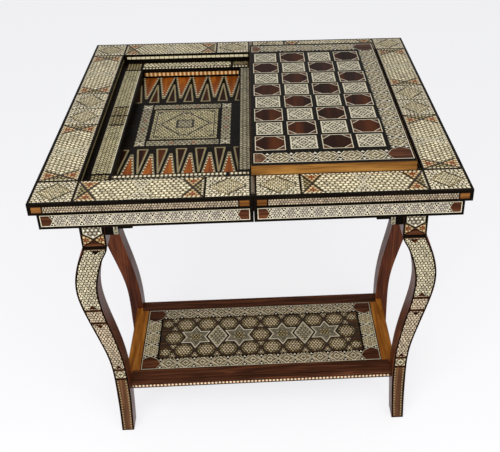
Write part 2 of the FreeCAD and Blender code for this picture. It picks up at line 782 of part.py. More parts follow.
# The two leaves. The right-hand one turns on the pivot, the left-hand one folds over on it.
through = "bottom_thickness + 2 * overrun"
bottom_holes = [
    rod(
        "bottom_bolt_hole",
        "bolt_radius + running_clearance",
        through,
        PIVOT,
        PIVOT,
        "%s - overrun" % UNDER,
    ),
    rod(
        "bottom_head_pocket",
        "bolt_head_radius + running_clearance",
        "bolt_head_height + overrun",
        PIVOT,
        PIVOT,
        head_low,
    ),
    rod(
        "bottom_peg_hole",
        "peg_radius + running_clearance",
        through,
        peg_x,
        PEG_Y,
        "%s - overrun" % UNDER,
    ),
]
leaf("right_leaf", 1, bottom_holes)
leaf("left_leaf", -1, [])
pins = [hinge_bore("hinge_pin_%d" % (end + 1), end, "pin_radius") for end in (-1, 1)]
subpart("hinge_pins", group("hinge_pins", pins))

# The half boards: one in the recess of the right-hand leaf, the other stacked on it
# and drawn a little way over the fold.
half_chess_board("lower_chess", LEDGE, "0")
half_chess_board("upper_chess", "(%s + %s + stack_gap)" % (LEDGE, PANEL_THICKNESS), "stack_shift")

# Shelf: rails between the ankles, and a panel held by a tongue in their grooves.
tongue_z = (TONGUE_LOW, TONGUE_HIGH)
tongue_x = "(%s + shelf_tongue)" % SHELF_SIDE_IN
tongue_y = "(%s + shelf_tongue)" % SHELF_OPENING
for end, word in ((-1, "front"), (1, "rear")):
    name = "shelf_rail_" + word
    y = spread((SHELF_OPENING, SHELF_HALF), end)
    pieces = [box(name + "_board", middle(SHELF_END), y, (SHELF_LOW, "shelf_height"))]
    for sign, side in ((-1, "left"), (1, "right")):
        pieces.append(shelf_tenon("%s_%s_tenon" % (name, side), sign, end))
    groove = box(
        name + "_groove",
        middle("%s + overrun" % SHELF_END),
        spread(("%s - overrun" % SHELF_OPENING, tongue_y), end),
        tongue_z,
    )
    subpart(name, cut(name, fuse(name + "_blank", pieces), [groove]))
for sign, side in ((-1, "left"), (1, "right")):
    name = "shelf_rail_" + side
    x = spread((SHELF_SIDE_IN, SHELF_SIDE_OUT), sign)
    blank = box(name + "_board", x, middle(LEG_BACK), (SHELF_LOW, "shelf_height"))
    cuts = [
        box(
            name + "_groove",
            spread(("%s - overrun" % SHELF_SIDE_IN, tongue_x), sign),
            middle("%s + overrun" % SHELF_OPENING),
            tongue_z,
        )
    ]
    for end, word in ((-1, "front"), (1, "rear")):
        cuts.append(
            box(
                "%s_%s_notch" % (name, word),
                spread(("%s - overrun" % SHELF_SIDE_IN, SHELF_END), sign),
                spread((SHELF_OPENING, "%s + overrun" % LEG_BACK), end),
                ("%s - overrun" % SHELF_LOW, "shelf_height + overrun"),
            )
        )
    subpart(name, cut(name, blank, cuts))
field = box(
    "shelf_panel_field",
    middle(SHELF_SIDE_IN),
    middle(SHELF_OPENING),
    (SHELF_PANEL_LOW, "shelf_height"),
)
tongue = box(
    "shelf_panel_tongue",
    middle("(%s - joint_gap)" % tongue_x),
    middle("(%s - joint_gap)" % tongue_y),
    tongue_z,
)
subpart("shelf_panel", fuse("shelf_panel", [field, tongue]))

doc.recompute()
for item in doc.Objects:
    if "Invalid" in item.State or "Error" in item.State:
        raise RuntimeError("%s could not be built: %s" % (item.Label, item.State))
for item in subparts:
    if item.Shape.isNull() or not item.Shape.isValid() or not item.Shape.Solids:
        raise RuntimeError("%s has no valid solid" % item.Label)

os.makedirs("parts", exist_ok=True)
for item in subparts:
    item.Shape.exportStep(os.path.join("parts", item.Label + ".step"))
print("%d sub-parts written" % len(subparts))
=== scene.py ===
import math

import bmesh
import bpy
from mathutils import Matrix, Vector


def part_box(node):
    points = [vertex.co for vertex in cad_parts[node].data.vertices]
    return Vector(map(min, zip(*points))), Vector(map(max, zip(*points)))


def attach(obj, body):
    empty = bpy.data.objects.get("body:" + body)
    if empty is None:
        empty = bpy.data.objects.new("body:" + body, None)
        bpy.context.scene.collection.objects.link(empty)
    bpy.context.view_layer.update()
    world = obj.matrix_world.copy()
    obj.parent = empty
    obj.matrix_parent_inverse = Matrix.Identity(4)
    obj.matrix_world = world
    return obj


# Games table with a fold-over swivel top, veneered all over with star mosaic of bone and
# wood. The solids come from the frame; this script gives them their woods and lays the
# inlay on them. Inlay is drawn in millimetres on each face, the model is in metres.

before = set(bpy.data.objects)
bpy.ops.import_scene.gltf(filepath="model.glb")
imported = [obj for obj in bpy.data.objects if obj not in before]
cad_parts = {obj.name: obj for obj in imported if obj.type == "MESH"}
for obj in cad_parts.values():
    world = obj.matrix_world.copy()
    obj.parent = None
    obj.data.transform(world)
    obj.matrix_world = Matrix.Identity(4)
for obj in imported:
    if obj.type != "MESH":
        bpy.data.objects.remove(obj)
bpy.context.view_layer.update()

MM = 0.001
ROOT3 = math.sqrt(3)

# veneer in mm: its thickness, how far the top of layer 0 stands out of the face, and the step
# from one layer to the next
VENEER, STAND, STEP = 0.3, 0.08, 0.04


# Finishes

# settings of a Mix node that blends two colours, or multiplies them
BLEND = {"data_type": "RGBA"}
MULTIPLY = {"data_type": "RGBA", "blend_type": "MULTIPLY"}


def linear(code):
    """An sRGB hex colour as linear red, green, blue and alpha."""
    parts = [int(code[i:i + 2], 16) / 255 for i in (1, 3, 5)]
    return [c / 12.92 if c <= 0.04045 else ((c + 0.055) / 1.055) ** 2.4 for c in parts] + [1]


def node(tree, kind, inputs=None, **settings):
    """Add a node, set it up and join or fill its inputs."""
    made = tree.nodes.new("ShaderNode" + kind)
    for key, value in settings.items():
        setattr(made, key, value)
    for key, value in (inputs or {}).items():
        if isinstance(value, bpy.types.Node):
            value = next(out for out in value.outputs if out.enabled)
        if isinstance(value, bpy.types.NodeSocket):
            tree.links.new(value, made.inputs[key])
        else:
            made.inputs[key].default_value = value
    return made


def begin(name, roughness, gloss=0.12, metallic=0.0):
    """A new finish, its nodes and its shader. Old wax reflects less than new varnish."""
    finish = bpy.data.materials.new(name)
    finish.use_nodes = True
    tree = finish.node_tree
    shader = tree.nodes["Principled BSDF"]
    shader.inputs["Roughness"].default_value = roughness
    shader.inputs["Specular IOR Level"].default_value = gloss
    shader.inputs["Metallic"].default_value = metallic
    return finish, tree, shader


def age(tree, shader, colour, patch, depth, rough):
    """Uneven tone and polish of old varnish, in patches of the given size in mm."""
    place = node(tree, "TexCoord").outputs["Object"]
    cloud = node(tree, "TexNoise", {"Vector": place, "Scale": 1000 / patch, "Detail": 3})
    tone = node(tree, "MapRange", {0: cloud, 1: 0.3, 2: 0.7, 3: 1 - depth, 4: 1.0})
    polish = node(tree, "MapRange", {0: cloud, 1: 0.3, 2: 0.7, 3: rough, 4: rough + 0.12})
    toned = node(tree, "Mix", {0: 1.0, 6: colour, 7: tone}, **MULTIPLY)
    tree.links.new(toned.outputs[2], shader.inputs["Base Color"])
    tree.links.new(polish.outputs[0], shader.inputs["Roughness"])


def wood(name, deep, middle, pale, along, ring_width, rough, gloss=0.04):
    """Planed and polished wood: growth rings, their width in mm, drawn out along the grain on
    the given axis, with fine pores."""
    finish, tree, shader = begin(name, rough, gloss)
    place = node(tree, "TexCoord").outputs["Object"]
    stretch = 16
    scale = [1000 / ring_width] * 3
    scale[along] /= stretch
    drawn = node(tree, "Mapping", {"Vector": place, "Scale": scale})
    rings = node(tree, "TexNoise", {"Vector": drawn, "Scale": 1, "Detail": 5, "Distortion": 0.8})
    pores = node(tree, "TexNoise", {"Vector": drawn, "Scale": 5, "Detail": 2})
    early = node(tree, "MapRange", {0: rings, 1: 0.3, 2: 0.6, 3: 0.0, 4: 1.0})
    late = node(tree, "MapRange", {0: rings, 1: 0.52, 2: 0.78, 3: 0.0, 4: 1.0})
    specks = node(tree, "MapRange", {0: pores, 1: 0.35, 2: 0.5, 3: 0.75, 4: 1.0})
    base = node(tree, "Mix", {0: early, 6: linear(deep), 7: linear(middle)}, **BLEND)
    banded = node(tree, "Mix", {0: late, 6: base, 7: linear(pale)}, **BLEND)
    pored = node(tree, "Mix", {0: 1.0, 6: banded, 7: specks}, **MULTIPLY)
    relief = node(tree, "Bump", {"Strength": 0.12, "Distance": 0.0002, "Height": pores})
    tree.links.new(relief.outputs[0], shader.inputs["Normal"])
    age(tree, shader, pored, patch=60, depth=0.16, rough=rough)
    return finish


def mosaic(name, cell, bone, filler, dark, heart, shape=(0.38, 0.07, 0.47, 0.15), ring_width=None,
           veil=None):
    """Star mosaic sliced from glued bundles of bone and wood rods: a bone star with a coloured
    heart in every cell of a hexagonal net, dark where three cells meet. The cell is in mm;
    the shape gives the star's reach, the depth of its petals, where the dark begins and the
    heart, as shares of a cell. With a ring width in mm, every second lozenge round the middle
    of the piece is darker, as under a veil of the given colour."""
    reach, petal, tip, core = shape
    finish, tree, shader = begin(name, 0.4, 0.03)
    place = node(tree, "UVMap", uv_map="veneer")
    half = (0.5, ROOT3 / 2, 0.5)
    back = tuple(-part for part in half)
    net = node(tree, "VectorMath", {0: place, 1: (1 / cell,) * 3}, operation="MULTIPLY")
    even = node(tree, "VectorMath", {0: net, 1: half, 2: back}, operation="WRAP")
    moved = node(tree, "VectorMath", {0: net, 1: half[:2] + (0,)}, operation="ADD")
    odd = node(tree, "VectorMath", {0: moved, 1: half, 2: back}, operation="WRAP")
    even_far = node(tree, "VectorMath", {0: even}, operation="LENGTH").outputs["Value"]
    odd_far = node(tree, "VectorMath", {0: odd}, operation="LENGTH").outputs["Value"]
    is_odd = node(tree, "Math", {0: odd_far, 1: even_far}, operation="LESS_THAN")
    spot = node(tree, "Mix", {0: is_odd, 4: even, 5: odd}, data_type="VECTOR")
    far = node(tree, "Math", {0: odd_far, 1: even_far}, operation="MINIMUM")
    across, up = node(tree, "SeparateXYZ", {0: spot}).outputs[:2]
    angle = node(tree, "Math", {0: up, 1: across}, operation="ARCTAN2")
    sixth = node(tree, "Math", {0: angle, 1: 6.0}, operation="MULTIPLY")
    wave = node(tree, "Math", {0: sixth}, operation="COSINE")
    edge = node(tree, "Math", {0: wave, 1: petal, 2: reach}, operation="MULTIPLY_ADD")
    is_star = node(tree, "Math", {0: far, 1: edge}, operation="LESS_THAN")
    is_tip = node(tree, "Math", {0: far, 1: tip}, operation="GREATER_THAN")
    is_heart = node(tree, "Math", {0: far, 1: core}, operation="LESS_THAN")
    colour = linear(filler)
    for share, tone in ((is_star, bone), (is_tip, dark), (is_heart, heart)):
        colour = node(tree, "Mix", {0: share, 6: colour, 7: linear(tone)}, **BLEND)
    if ring_width:
        fold = node(tree, "VectorMath", {0: place}, operation="ABSOLUTE")
        step = (1 / ring_width, 1 / ring_width, 0)
        away = node(tree, "VectorMath", {0: fold, 1: step}, operation="DOT_PRODUCT")
        turn = node(tree, "Math", {0: away.outputs["Value"]}, operation="FRACT")
        is_ring = node(tree, "Math", {0: turn, 1: 0.45}, operation="LESS_THAN")
        colour = node(tree, "Mix", {0: is_ring, 6: colour, 7: linear(veil)}, **MULTIPLY)
    # no two rods of a bundle have quite the same tone; drawn 4 mm wide so that they show
    rod_width = 4
    rods = node(tree, "TexVoronoi", {"Vector": place, "Scale": 1 / rod_width})
    tint = node(tree, "SeparateColor", {0: rods.outputs["Color"]})
    uneven = node(tree, "MapRange", {0: tint, 3: 0.6, 4: 1.4})
    colour = node(tree, "Mix", {0: 1.0, 6: colour, 7: uneven}, **MULTIPLY)
    age(tree, shader, colour, patch=22, depth=0.22, rough=0.34)
    return finish


def teeth(name, bone, dark):
    """Rows of small dark triangles in bone, a whole row to each unit of the piece's own map.
    The dark ones are a little larger than the bone ones between them."""
    spread, joint = 1.12, 0.01
    finish, tree, shader = begin(name, 0.4, 0.03)
    place = node(tree, "UVMap", uv_map="veneer")
    fold = node(tree, "VectorMath", {0: place}, operation="ABSOLUTE")
    right = node(tree, "VectorMath", {0: fold, 1: (1, 1 / ROOT3, 0)}, operation="DOT_PRODUCT")
    left = node(tree, "VectorMath", {0: fold, 1: (-1, 1 / ROOT3, 0)}, operation="DOT_PRODUCT")
    a = node(tree, "Math", {0: right.outputs["Value"]}, operation="FRACT")
    b = node(tree, "Math", {0: left.outputs["Value"]}, operation="FRACT")
    both = node(tree, "Math", {0: a, 1: b}, operation="ADD")
    low = node(tree, "Math", {0: a, 1: b}, operation="MINIMUM")
    under = node(tree, "Math", {0: both, 1: spread}, operation="LESS_THAN")
    over = node(tree, "Math", {0: low, 1: joint}, operation="GREATER_THAN")
    tooth = node(tree, "Math", {0: under, 1: over}, operation="MULTIPLY")
    whole = node(tree, "Mix", {0: tooth, 6: linear(bone), 7: linear(dark)}, **BLEND)
    age(tree, shader, whole, patch=22, depth=0.18, rough=0.34)
    return finish


def stringing(name, first, second, period, share):
    """A narrow line of veneer made of short lengths of two colours, set end to end; the period
    is in mm, with the first colour's share of it."""
    finish, tree, shader = begin(name, 0.4, 0.03)
    place = node(tree, "UVMap", uv_map="veneer")
    along = node(tree, "SeparateXYZ", {0: place}).outputs[0]
    step = node(tree, "Math", {0: along, 1: 1 / period}, operation="MULTIPLY")
    turn = node(tree, "Math", {0: step}, operation="FRACT")
    is_first = node(tree, "Math", {0: turn, 1: share}, operation="LESS_THAN")
    whole = node(tree, "Mix", {0: is_first, 6: linear(second), 7: linear(first)}, **BLEND)
    age(tree, shader, whole, patch=30, depth=0.2, rough=0.34)
    return finish


def plain(name, tone, patch, depth, rough, metallic=0.0):
    """One material with uneven tone and polish."""
    finish, tree, shader = begin(name, rough, metallic=metallic)
    age(tree, shader, linear(tone), patch, depth, rough)
    return finish


FINISH = {
    # mahogany, turned reddish brown under polish: the sides of the legs
    "mahogany": wood("polished_mahogany", "#3d1c0f", "#66341f", "#82492a", 2, 9, 0.28, 0.1),
    # walnut with dark rings: front and rear rails of the shelf, blocks in the strips
    "walnut": wood("polished_walnut", "#2e180c", "#563120", "#74462a", 0, 10, 0.3, 0.02),
    # the same wood, paler and more orange, with its grain from front to back: end rails
    "honey_walnut": wood("honey_walnut", "#7a4516", "#ad6b28", "#c98a3e", 1, 9, 0.3),
    # tan wood with darker stretches along the grain: edges of the chess boards
    "pale_walnut": wood("pale_walnut", "#4e2f14", "#93642f", "#b58544", 0, 12, 0.34),
    # the same, darker and redder: end blocks of the borders' edges
    "russet_walnut": wood("russet_walnut", "#583312", "#7f5126", "#976633", 0, 12, 0.34),
    # rosewood, close-grained, half black and half dark red: octagons and dark points
    "rosewood": wood("rosewood", "#0d0503", "#321508", "#5a2d10", 1, 42, 0.3, 0.015),
    # paler walnut: end blocks of the chess boards, feet of the legs
    "tan_walnut": wood("tan_walnut", "#4a2f1c", "#6e4a30", "#876042", 2, 10, 0.32),
    # walnut smoked brown: the field of the shelf
    "smoked_walnut": wood("smoked_walnut", "#32231a", "#523a26", "#684d33", 0, 14, 0.34, 0.02),
    # fruit wood stained orange: the light points
    "amber": wood("amber_fruitwood", "#6c320a", "#9b5016", "#ba6f25", 1, 12, 0.3),
    # plain pale wood under the top and inside the base
    "beech": wood("plain_beech", "#a8804f", "#c39b66", "#d4b282", 0, 7, 0.5),
    # wood stained black, its grain nearly hidden
    "ebony": wood("ebonised_wood", "#0a0704", "#120d08", "#1f1710", 0, 8, 0.3, 0.015),
    # bone, sawn and polished: thin lines and frames
    "bone": plain("polished_bone", "#d9cfb4", 12, 0.2, 0.32),
    # duller bone: ground of the shelf's long strips, a line on the ledges
    "pale": plain("dull_bone", "#b3a68a", 12, 0.25, 0.4),
    # bone worn brown: outlines of the points, lines in the recesses
    "worn": plain("worn_bone", "#94855f", 14, 0.3, 0.4),
    # dark dividing lines of stained wood
    "line": plain("stained_line", "#241a0e", 20, 0.3, 0.36),
    # the same lines where they are worn
    "faded": plain("faded_line", "#6d5f3e", 20, 0.3, 0.4),
    # red wood in the small crosses
    "red": plain("red_padouk", "#8c3f20", 10, 0.25, 0.36),
    # old brass, dull and warm: the hinges
    "brass": plain("dull_brass", "#796c5d", 9, 0.3, 0.42, metallic=1.0),
    # turned steel of the pivot
    "steel": plain("turned_steel", "#a6a6a2", 8, 0.2, 0.34, metallic=1.0),
    # Mosaics of bone and woods. Real cells are about 3 mm, drawn here at 4 to 10 mm so that
    # they show from a few steps away.
    # bright, in faint rings: lozenges of the borders, hexagons at the ends of the shelf
    "stars": mosaic(
        "star_mosaic", 6.4, "#fdf0cc", "#70684a", "#130e08", "#5d4a2e", ring_width=11, veil="#d8d0bc"
    ),
    # bright with brown hearts, round those lozenges
    "rim": mosaic(
        "rim_mosaic", 7.4, "#f4e9ca", "#645b40", "#1c150b", "#6e4426", (0.35, 0.06, 0.5, 0.1)
    ),
    # warm and bright, on the knees of the legs
    "knee": mosaic(
        "leg_mosaic", 7.4, "#eae0c1", "#716444", "#100b06", "#5e4226", (0.36, 0.06, 0.46, 0.14)
    ),
    # the same, browner, below the knees
    "shin": mosaic(
        "shin_mosaic", 7.0, "#e6d6b8", "#73583f", "#120c07", "#643e26", (0.35, 0.06, 0.46, 0.14)
    ),
    # white dots on grey, on the blocks of the legs
    "dots": mosaic(
        "dotted_mosaic", 8.6, "#f0e9d8", "#7d735c", "#2a2216", "#f0e9d8", (0.27, 0.04, 0.5, 0.1)
    ),
    # large pale cells like a weave: long panels of the borders, ends of the ledges
    "weave": mosaic(
        "weave_mosaic", 9.0, "#f4e7c5", "#6e6444", "#2c2412", "#f4e7c5", (0.36, 0.06, 0.53, 0.1)
    ),
    # fine, in strong rings: hexagons of the boards and of the shelf's long strips, low on the legs
    "medal": mosaic(
        "medallion_mosaic", 5.4, "#fff4d6", "#8a7d5a", "#120d08", "#4a3a26", ring_width=10,
        veil="#877a5e"
    ),
    # olive with black spots: ledges and tablets
    "spots": mosaic(
        "spotted_mosaic", 7.4, "#dacea4", "#827750", "#060402", "#463b22", (0.35, 0.06, 0.44, 0.13)
    ),
    # cool and bright: light squares
    "squares": mosaic(
        "square_mosaic", 7.0, "#e6dec4", "#69614b", "#0e0b07", "#3a3324", (0.3, 0.06, 0.45, 0.1)
    ),
    # orange, under the small crosses
    "crosses": mosaic(
        "orange_mosaic", 7.4, "#ecd5a6", "#80562a", "#24130a", "#7e3618", (0.3, 0.06, 0.5, 0.1)
    ),
    # dark olive: end triangles, blocks on the ledges, rims of the medallions
    "smoke": mosaic(
        "olive_mosaic", 7.4, "#c8b888", "#4c4028", "#120d07", "#362d1c", (0.28, 0.06, 0.48, 0.1)
    ),
    # warm and dim: middles of the medallions
    "shade": mosaic(
        "shelf_mosaic", 7.2, "#ecdcb8", "#6f5d40", "#1a120b", "#5c4226", (0.31, 0.06, 0.47, 0.1)
    ),
    # grey: stars of the shelf
    "grey": mosaic("grey_mosaic", 5.4, "#9d9580", "#524b3c", "#14100a", "#40382a"),
    # pale grey with black dots: frames and middles of the tablets, lozenges of the shelf
    "frames": mosaic(
        "frame_mosaic", 9.0, "#b8ae93", "#787058", "#0a0704", "#625a46", (0.32, 0.05, 0.49, 0.08)
    ),
    # fine and pinkish: edges of the borders
    "pink": mosaic(
        "edge_mosaic", 4.6, "#c2b197", "#564635", "#120c07", "#4e3424", (0.34, 0.07, 0.46, 0.12)
    ),
    # fine and grey: hexagons of the skirts
    "grain": mosaic(
        "skirt_mosaic", 4.4, "#ece2d0", "#6f6655", "#1c160e", "#4c4436", (0.31, 0.06, 0.48, 0.14)
    ),
    # black teeth in bone: triangles between the hexagons
    "teeth": teeth("toothed_mosaic", "#e6ddc4", "#0d0906"),
    # lines of short lengths of bone: short walls of the recess
    "dashes": stringing("dashed_stringing", "#dcd1ad", "#3a2c1a", 11.0, 0.88),
    # white beads in brown, along the amber points
    "beads": stringing("beaded_stringing", "#f6eacb", "#5f4b2a", 10.5, 0.36),
    # the same beads worn down, along the feet of the legs
    "foot_beads": stringing("foot_stringing", "#b0a07a", "#664f33", 8.4, 0.42),
    # tan and orange, on the short walls of the wells
    "stripes": stringing("striped_stringing", "#e2c08c", "#9a5f28", 9.6, 0.46),
    # bone and brown, round the blocks of the borders and at the ends of the ledges
    "rim_beads": stringing("rim_stringing", "#f0e7cb", "#6a5430", 7.5, 0.55),
    # bone and orange, along the edge of the shelf
    "shelf_beads": stringing("shelf_stringing", "#eadbbc", "#8a4f26", 8.4, 0.52),
}


# Pieces of veneer

def piece(stuff, outline, layer=0, middle=None, turn=0.0, scale=1.0):
    """A piece of veneer on a face: its outline in mm, anticlockwise, the layer it lies in,
    and the middle, turn and scale of its pattern."""
    if middle is None:
        middle = [sum(part) / len(outline) for part in zip(*outline)]
    return stuff, outline, layer, middle, turn, scale


def panel(stuff, u0, v0, u1, v1, layer=0):
    """A rectangle of veneer between two corners."""
    return piece(stuff, [(u0, v0), (u1, v0), (u1, v1), (u0, v1)], layer)


def band(stuff, start, stop, width, layer=1):
    """A straight line of veneer, its pattern running along it."""
    run = Vector(stop) - Vector(start)
    side = Vector((-run.y, run.x)).normalized() * width / 2
    a, b = Vector(start), Vector(stop)
    outline = [tuple(p) for p in (a - side, b - side, b + side, a + side)]
    return piece(stuff, outline, layer, start, math.atan2(run.y, run.x))


def outline_bands(stuff, corners, width, layer=1):
    """Lines of veneer round a closed outline, mitred where they meet."""
    corners = [Vector(corner) for corner in corners]
    runs = [(corners[i] - corners[i - 1]).normalized() for i in range(len(corners))]
    mitres = []
    for i, run in enumerate(runs):
        both = run + runs[(i + 1) % len(runs)]
        side = Vector((-both.y, both.x)).normalized()
        mitres.append(side * width / 2 / side.dot(Vector((-run.y, run.x))))
    tiles = []
    for i, run in enumerate(runs):
        a, b, first, last = corners[i - 1], corners[i], mitres[i - 1], mitres[i]
        outline = [tuple(p) for p in (a - first, b - last, b + last, a + first)]
        tiles.append(piece(stuff, outline, layer, tuple(a), math.atan2(run.y, run.x)))
    return tiles


def ring(stuff, u0, v0, u1, v1, width, layer=1):
    """A frame of four lines inside a rectangle."""
    w = width / 2
    corners = [(u0 + w, v0 + w), (u1 - w, v0 + w), (u1 - w, v1 - w), (u0 + w, v1 - w)]
    return outline_bands(stuff, corners, width, layer)


def mirrored(tiles):
    """The same pieces on the other side of the face's middle."""
    return [
        (stuff, [(-u, v) for u, v in reversed(outline)], layer, (-mid[0], mid[1]), -turn, scale)
        for stuff, outline, layer, mid, turn, scale in tiles
    ]


def lifted(tile, layers):
    """The same piece some layers higher."""
    return tile[:2] + (tile[2] + layers,) + tile[3:]


def inlay(name, body, sheets):
    """Veneer glued on faces of one body. Each sheet is a face, by a corner and its two
    directions, with the pieces that lie on it."""
    shape = bmesh.new()
    pattern = shape.loops.layers.uv.new("veneer")
    used = []
    for (corner, across, up), tiles in sheets:
        corner, across, up = Vector(corner), Vector(across), Vector(up)
        out = across.cross(up)
        for stuff, outline, layer, middle, turn, scale in tiles:
            lift = out * (STAND + STEP * layer)
            rim = [shape.verts.new((corner + across * u + up * v + lift) * MM) for u, v in outline]
            sheet = shape.faces.new(rim)
            if stuff not in used:
                used.append(stuff)
            sheet.material_index = used.index(stuff)
            turned = Matrix.Rotation(-turn, 2) * scale
            for loop, point in zip(sheet.loops, outline):
                loop[pattern].uv = turned @ (Vector(point) - Vector(middle))
    mesh = bpy.data.meshes.new(name)
    shape.to_mesh(mesh)
    shape.free()
    for stuff in used:
        mesh.materials.append(FINISH[stuff])
    made = bpy.data.objects.new(name, mesh)
    bpy.context.scene.collection.objects.link(made)
    veneer = made.modifiers.new("thickness", "SOLIDIFY")
    veneer.thickness = VENEER * MM
    veneer.offset = -1
    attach(made, body)


# Ornament

def hexagon_strip(u0, u1, v0, v1, count, stuff="medal", ground="bone", line=1.5):
    """A row of hexagons point to point and the toothed triangles between them, set in a ground
    that shows as crossed lines."""
    middle = (v0 + v1) / 2
    lean = (v1 - v0) / 2 / ROOT3
    pitch = (u1 - u0) / count
    inset = line / ROOT3
    corners = [
        (u0, middle),
        (u0 - lean, v0),
        (u1 + lean, v0),
        (u1, middle),
        (u1 + lean, v1),
        (u0 - lean, v1),
    ]
    tiles = [piece(ground, corners)]
    for step in range(count):
        left, right = u0 + step * pitch + inset, u0 + (step + 1) * pitch - inset
        hexagon = [
            (left, middle),
            (left + lean, v0),
            (right - lean, v0),
            (right, middle),
            (right - lean, v1),
            (left + lean, v1),
        ]
        tiles.append(piece(stuff, hexagon, 1))
    reach = lean - inset
    for step in range(count + 1):
        u = u0 + step * pitch
        upper = [(u, middle + line), (u + reach, v1), (u - reach, v1)]
        lower = [(u, middle - line), (u - reach, v0), (u + reach, v0)]
        for triangle in (upper, lower):
            tiles.append(piece("teeth", triangle, 1, triangle[0], scale=1 / reach))
    return tiles


def pointed_block(u0, u1, v0, v1, stuff="walnut"):
    """A block of wood with a point at its far end."""
    lean = (v1 - v0) / 2 / ROOT3
    tip = u1 + lean
    outline = [(u0, v0), (u1, v0), (tip, (v0 + v1) / 2), (u1, v1), (u0, v1)]
    return [piece(stuff, outline)]


def corner_block(u, v, width, du, dv):
    """A walnut corner piece with a point along each of the two strips that it joins."""
    lean = width / 2 / ROOT3
    shape = [
        (0, 0),
        (width, 0),
        (width + lean, width / 2),
        (width, width),
        (width / 2, width + lean),
        (0, width),
    ]
    outline = [(u + du * a, v + dv * b) for a, b in shape]
    return [piece("walnut", outline if du * dv > 0 else outline[::-1])]


def star_block(u0, u1, v0, v1):
    """A block of mosaic in a beaded rim, with a lozenge that has dark lines on two sides."""
    inset, rim, beads = 5, 0.8, 3.2
    dark_line, faded_line = 2.8, 1.8
    u, v = (u0 + u1) / 2, (v0 + v1) / 2
    lozenge = [(u, v0 + inset), (u1 - inset, v), (u, v1 - inset), (u0 + inset, v)]
    tiles = [panel("rim", u0, v0, u1, v1), piece("stars", lozenge, 2)]
    tiles += ring("rim_beads", u0 + rim, v0 + rim, u1 - rim, v1 - rim, beads)
    sides = outline_bands("line", lozenge, dark_line, 3)
    faded = outline_bands("faded", lozenge, faded_line, 3)
    return tiles + sides[::2] + faded[1::2]


def hourglass_end(u, v0, v1, way):
    """The crossed end of a long panel: an olive triangle on the end, orange ones beside it."""
    cross, cross_in, line, bead, bead_short = 4.5, 12, 3.2, 2.4, 4
    middle = (v0 + v1) / 2
    lean = way * (v1 - v0) / 2 / ROOT3
    low = [(u, v0), (u + 2 * lean, v0), (u + lean, middle)]
    high = [(u, v1), (u + lean, middle), (u + 2 * lean, v1)]
    end = [(u, v0), (u + lean, middle), (u, v1)]
    tiles = []
    for stuff, outline in (("crosses", low), ("crosses", high), ("smoke", end)):
        tiles.append(piece(stuff, outline if way > 0 else outline[::-1]))
    for v in (v0 + cross_in, v1 - cross_in):
        tiles += red_cross(u + lean, v, cross)
    tiles.append(band("line", (u, v0), (u + 2 * lean, v1), line))
    tiles.append(band("line", (u, v1), (u + 2 * lean, v0), line, 2))
    edge = u + way * bead
    tiles.append(band("rim_beads", (edge, v0 + bead_short), (edge, v1 - bead_short), bead, 1))
    return tiles


def red_cross(u, v, reach):
    """A small upright cross of red wood."""
    arm_share = 0.32
    arm = reach * arm_share
    return [
        panel("red", u - reach, v - arm, u + reach, v + arm, 1),
        panel("red", u - arm, v - reach, u + arm, v + reach, 2),
    ]


def long_panel(u0, u1, v0, v1):
    """A long hexagon of bright mosaic between two hourglass ends, crossed in the middle by
    two lines of bone with finer triangles between them."""
    line, bead, bead_in, bead_short = 2.6, 2.4, 1.6, 3
    start, stop = u0 + bead_short, u1 - bead_short
    middle, u = (v0 + v1) / 2, (u0 + u1) / 2
    lean = (v1 - v0) / 2 / ROOT3
    field = [
        (u0 + lean, middle),
        (u0 + 2 * lean, v0),
        (u1 - 2 * lean, v0),
        (u1 - lean, middle),
        (u1 - 2 * lean, v1),
        (u0 + 2 * lean, v1),
    ]
    return [
        piece("weave", field),
        piece("rim", [(u - lean, v0), (u + lean, v0), (u, middle)], 1),
        piece("rim", [(u + lean, v1), (u - lean, v1), (u, middle)], 1),
        band("bone", (u - lean, v0), (u + lean, v1), line, 2),
        band("bone", (u - lean, v1), (u + lean, v0), line, 3),
        band("rim_beads", (start, v0 + bead_in), (stop, v0 + bead_in), bead, 4),
        band("rim_beads", (start, v1 - bead_in), (stop, v1 - bead_in), bead, 4),
    ] + hourglass_end(u0, v0, v1, 1) + hourglass_end(u1, v0, v1, -1)


def star_outline(u, v, reach):
    """Corners of a six-pointed star."""
    corners = []
    for step in range(12):
        far = reach if step % 2 == 0 else reach / ROOT3
        angle = math.radians(90 + 30 * step)
        corners.append((u + far * math.cos(angle), v + far * math.sin(angle)))
    return corners


def round_outline(u, v, radius, sides=18):
    """Corners of a round, drawn with short straight sides."""
    turn = 2 * math.pi / sides
    return [
        (u + radius * math.cos(turn * i), v + radius * math.sin(turn * i)) for i in range(sides)
    ]


# Faces of the solids in mm, drawn for the right leaf; the left one is the same, half round

X, Y, Z = Vector((1, 0, 0)), Vector((0, 1, 0)), Vector((0, 0, 1))


def corners_of(name):
    """Low and high corner of a solid, in mm."""
    return [Vector([round(part / MM, 2) for part in corner]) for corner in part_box(name)]


border_low, border_high = corners_of("right_leaf_border_front")
TOP, LIP = border_high.z, border_low.z
LEAF_SIDE, LEAF_END = border_high.x, -border_low.y
RECESS_SIDE, RECESS_END = corners_of("right_leaf_border_outer")[0].x, -border_high.y
ledge_low, ledge_high = corners_of("right_leaf_ledge_outer")
LEDGE, WELL_FAR, WELL_END = ledge_high.z, ledge_low.x, ledge_high.y
fold_low, fold_high = corners_of("right_leaf_fold_rail")
FOLD, WELL_NEAR = fold_low.x, fold_high.x
WELL_FLOOR = corners_of("right_leaf_well_floor")[1].z
skirt_low, skirt_high = corners_of("right_leaf_skirt_outer")
SKIRT_SIDE, UNDER = skirt_high.x, skirt_low.z
SKIRT_END = -corners_of("right_leaf_skirt_front")[0].y
leg_low, leg_high = corners_of("leg_front_right")
LEG_TOP, LEG_FACE = leg_high.z, -leg_low.y
APRON_FACE = -corners_of("apron_front")[0].y
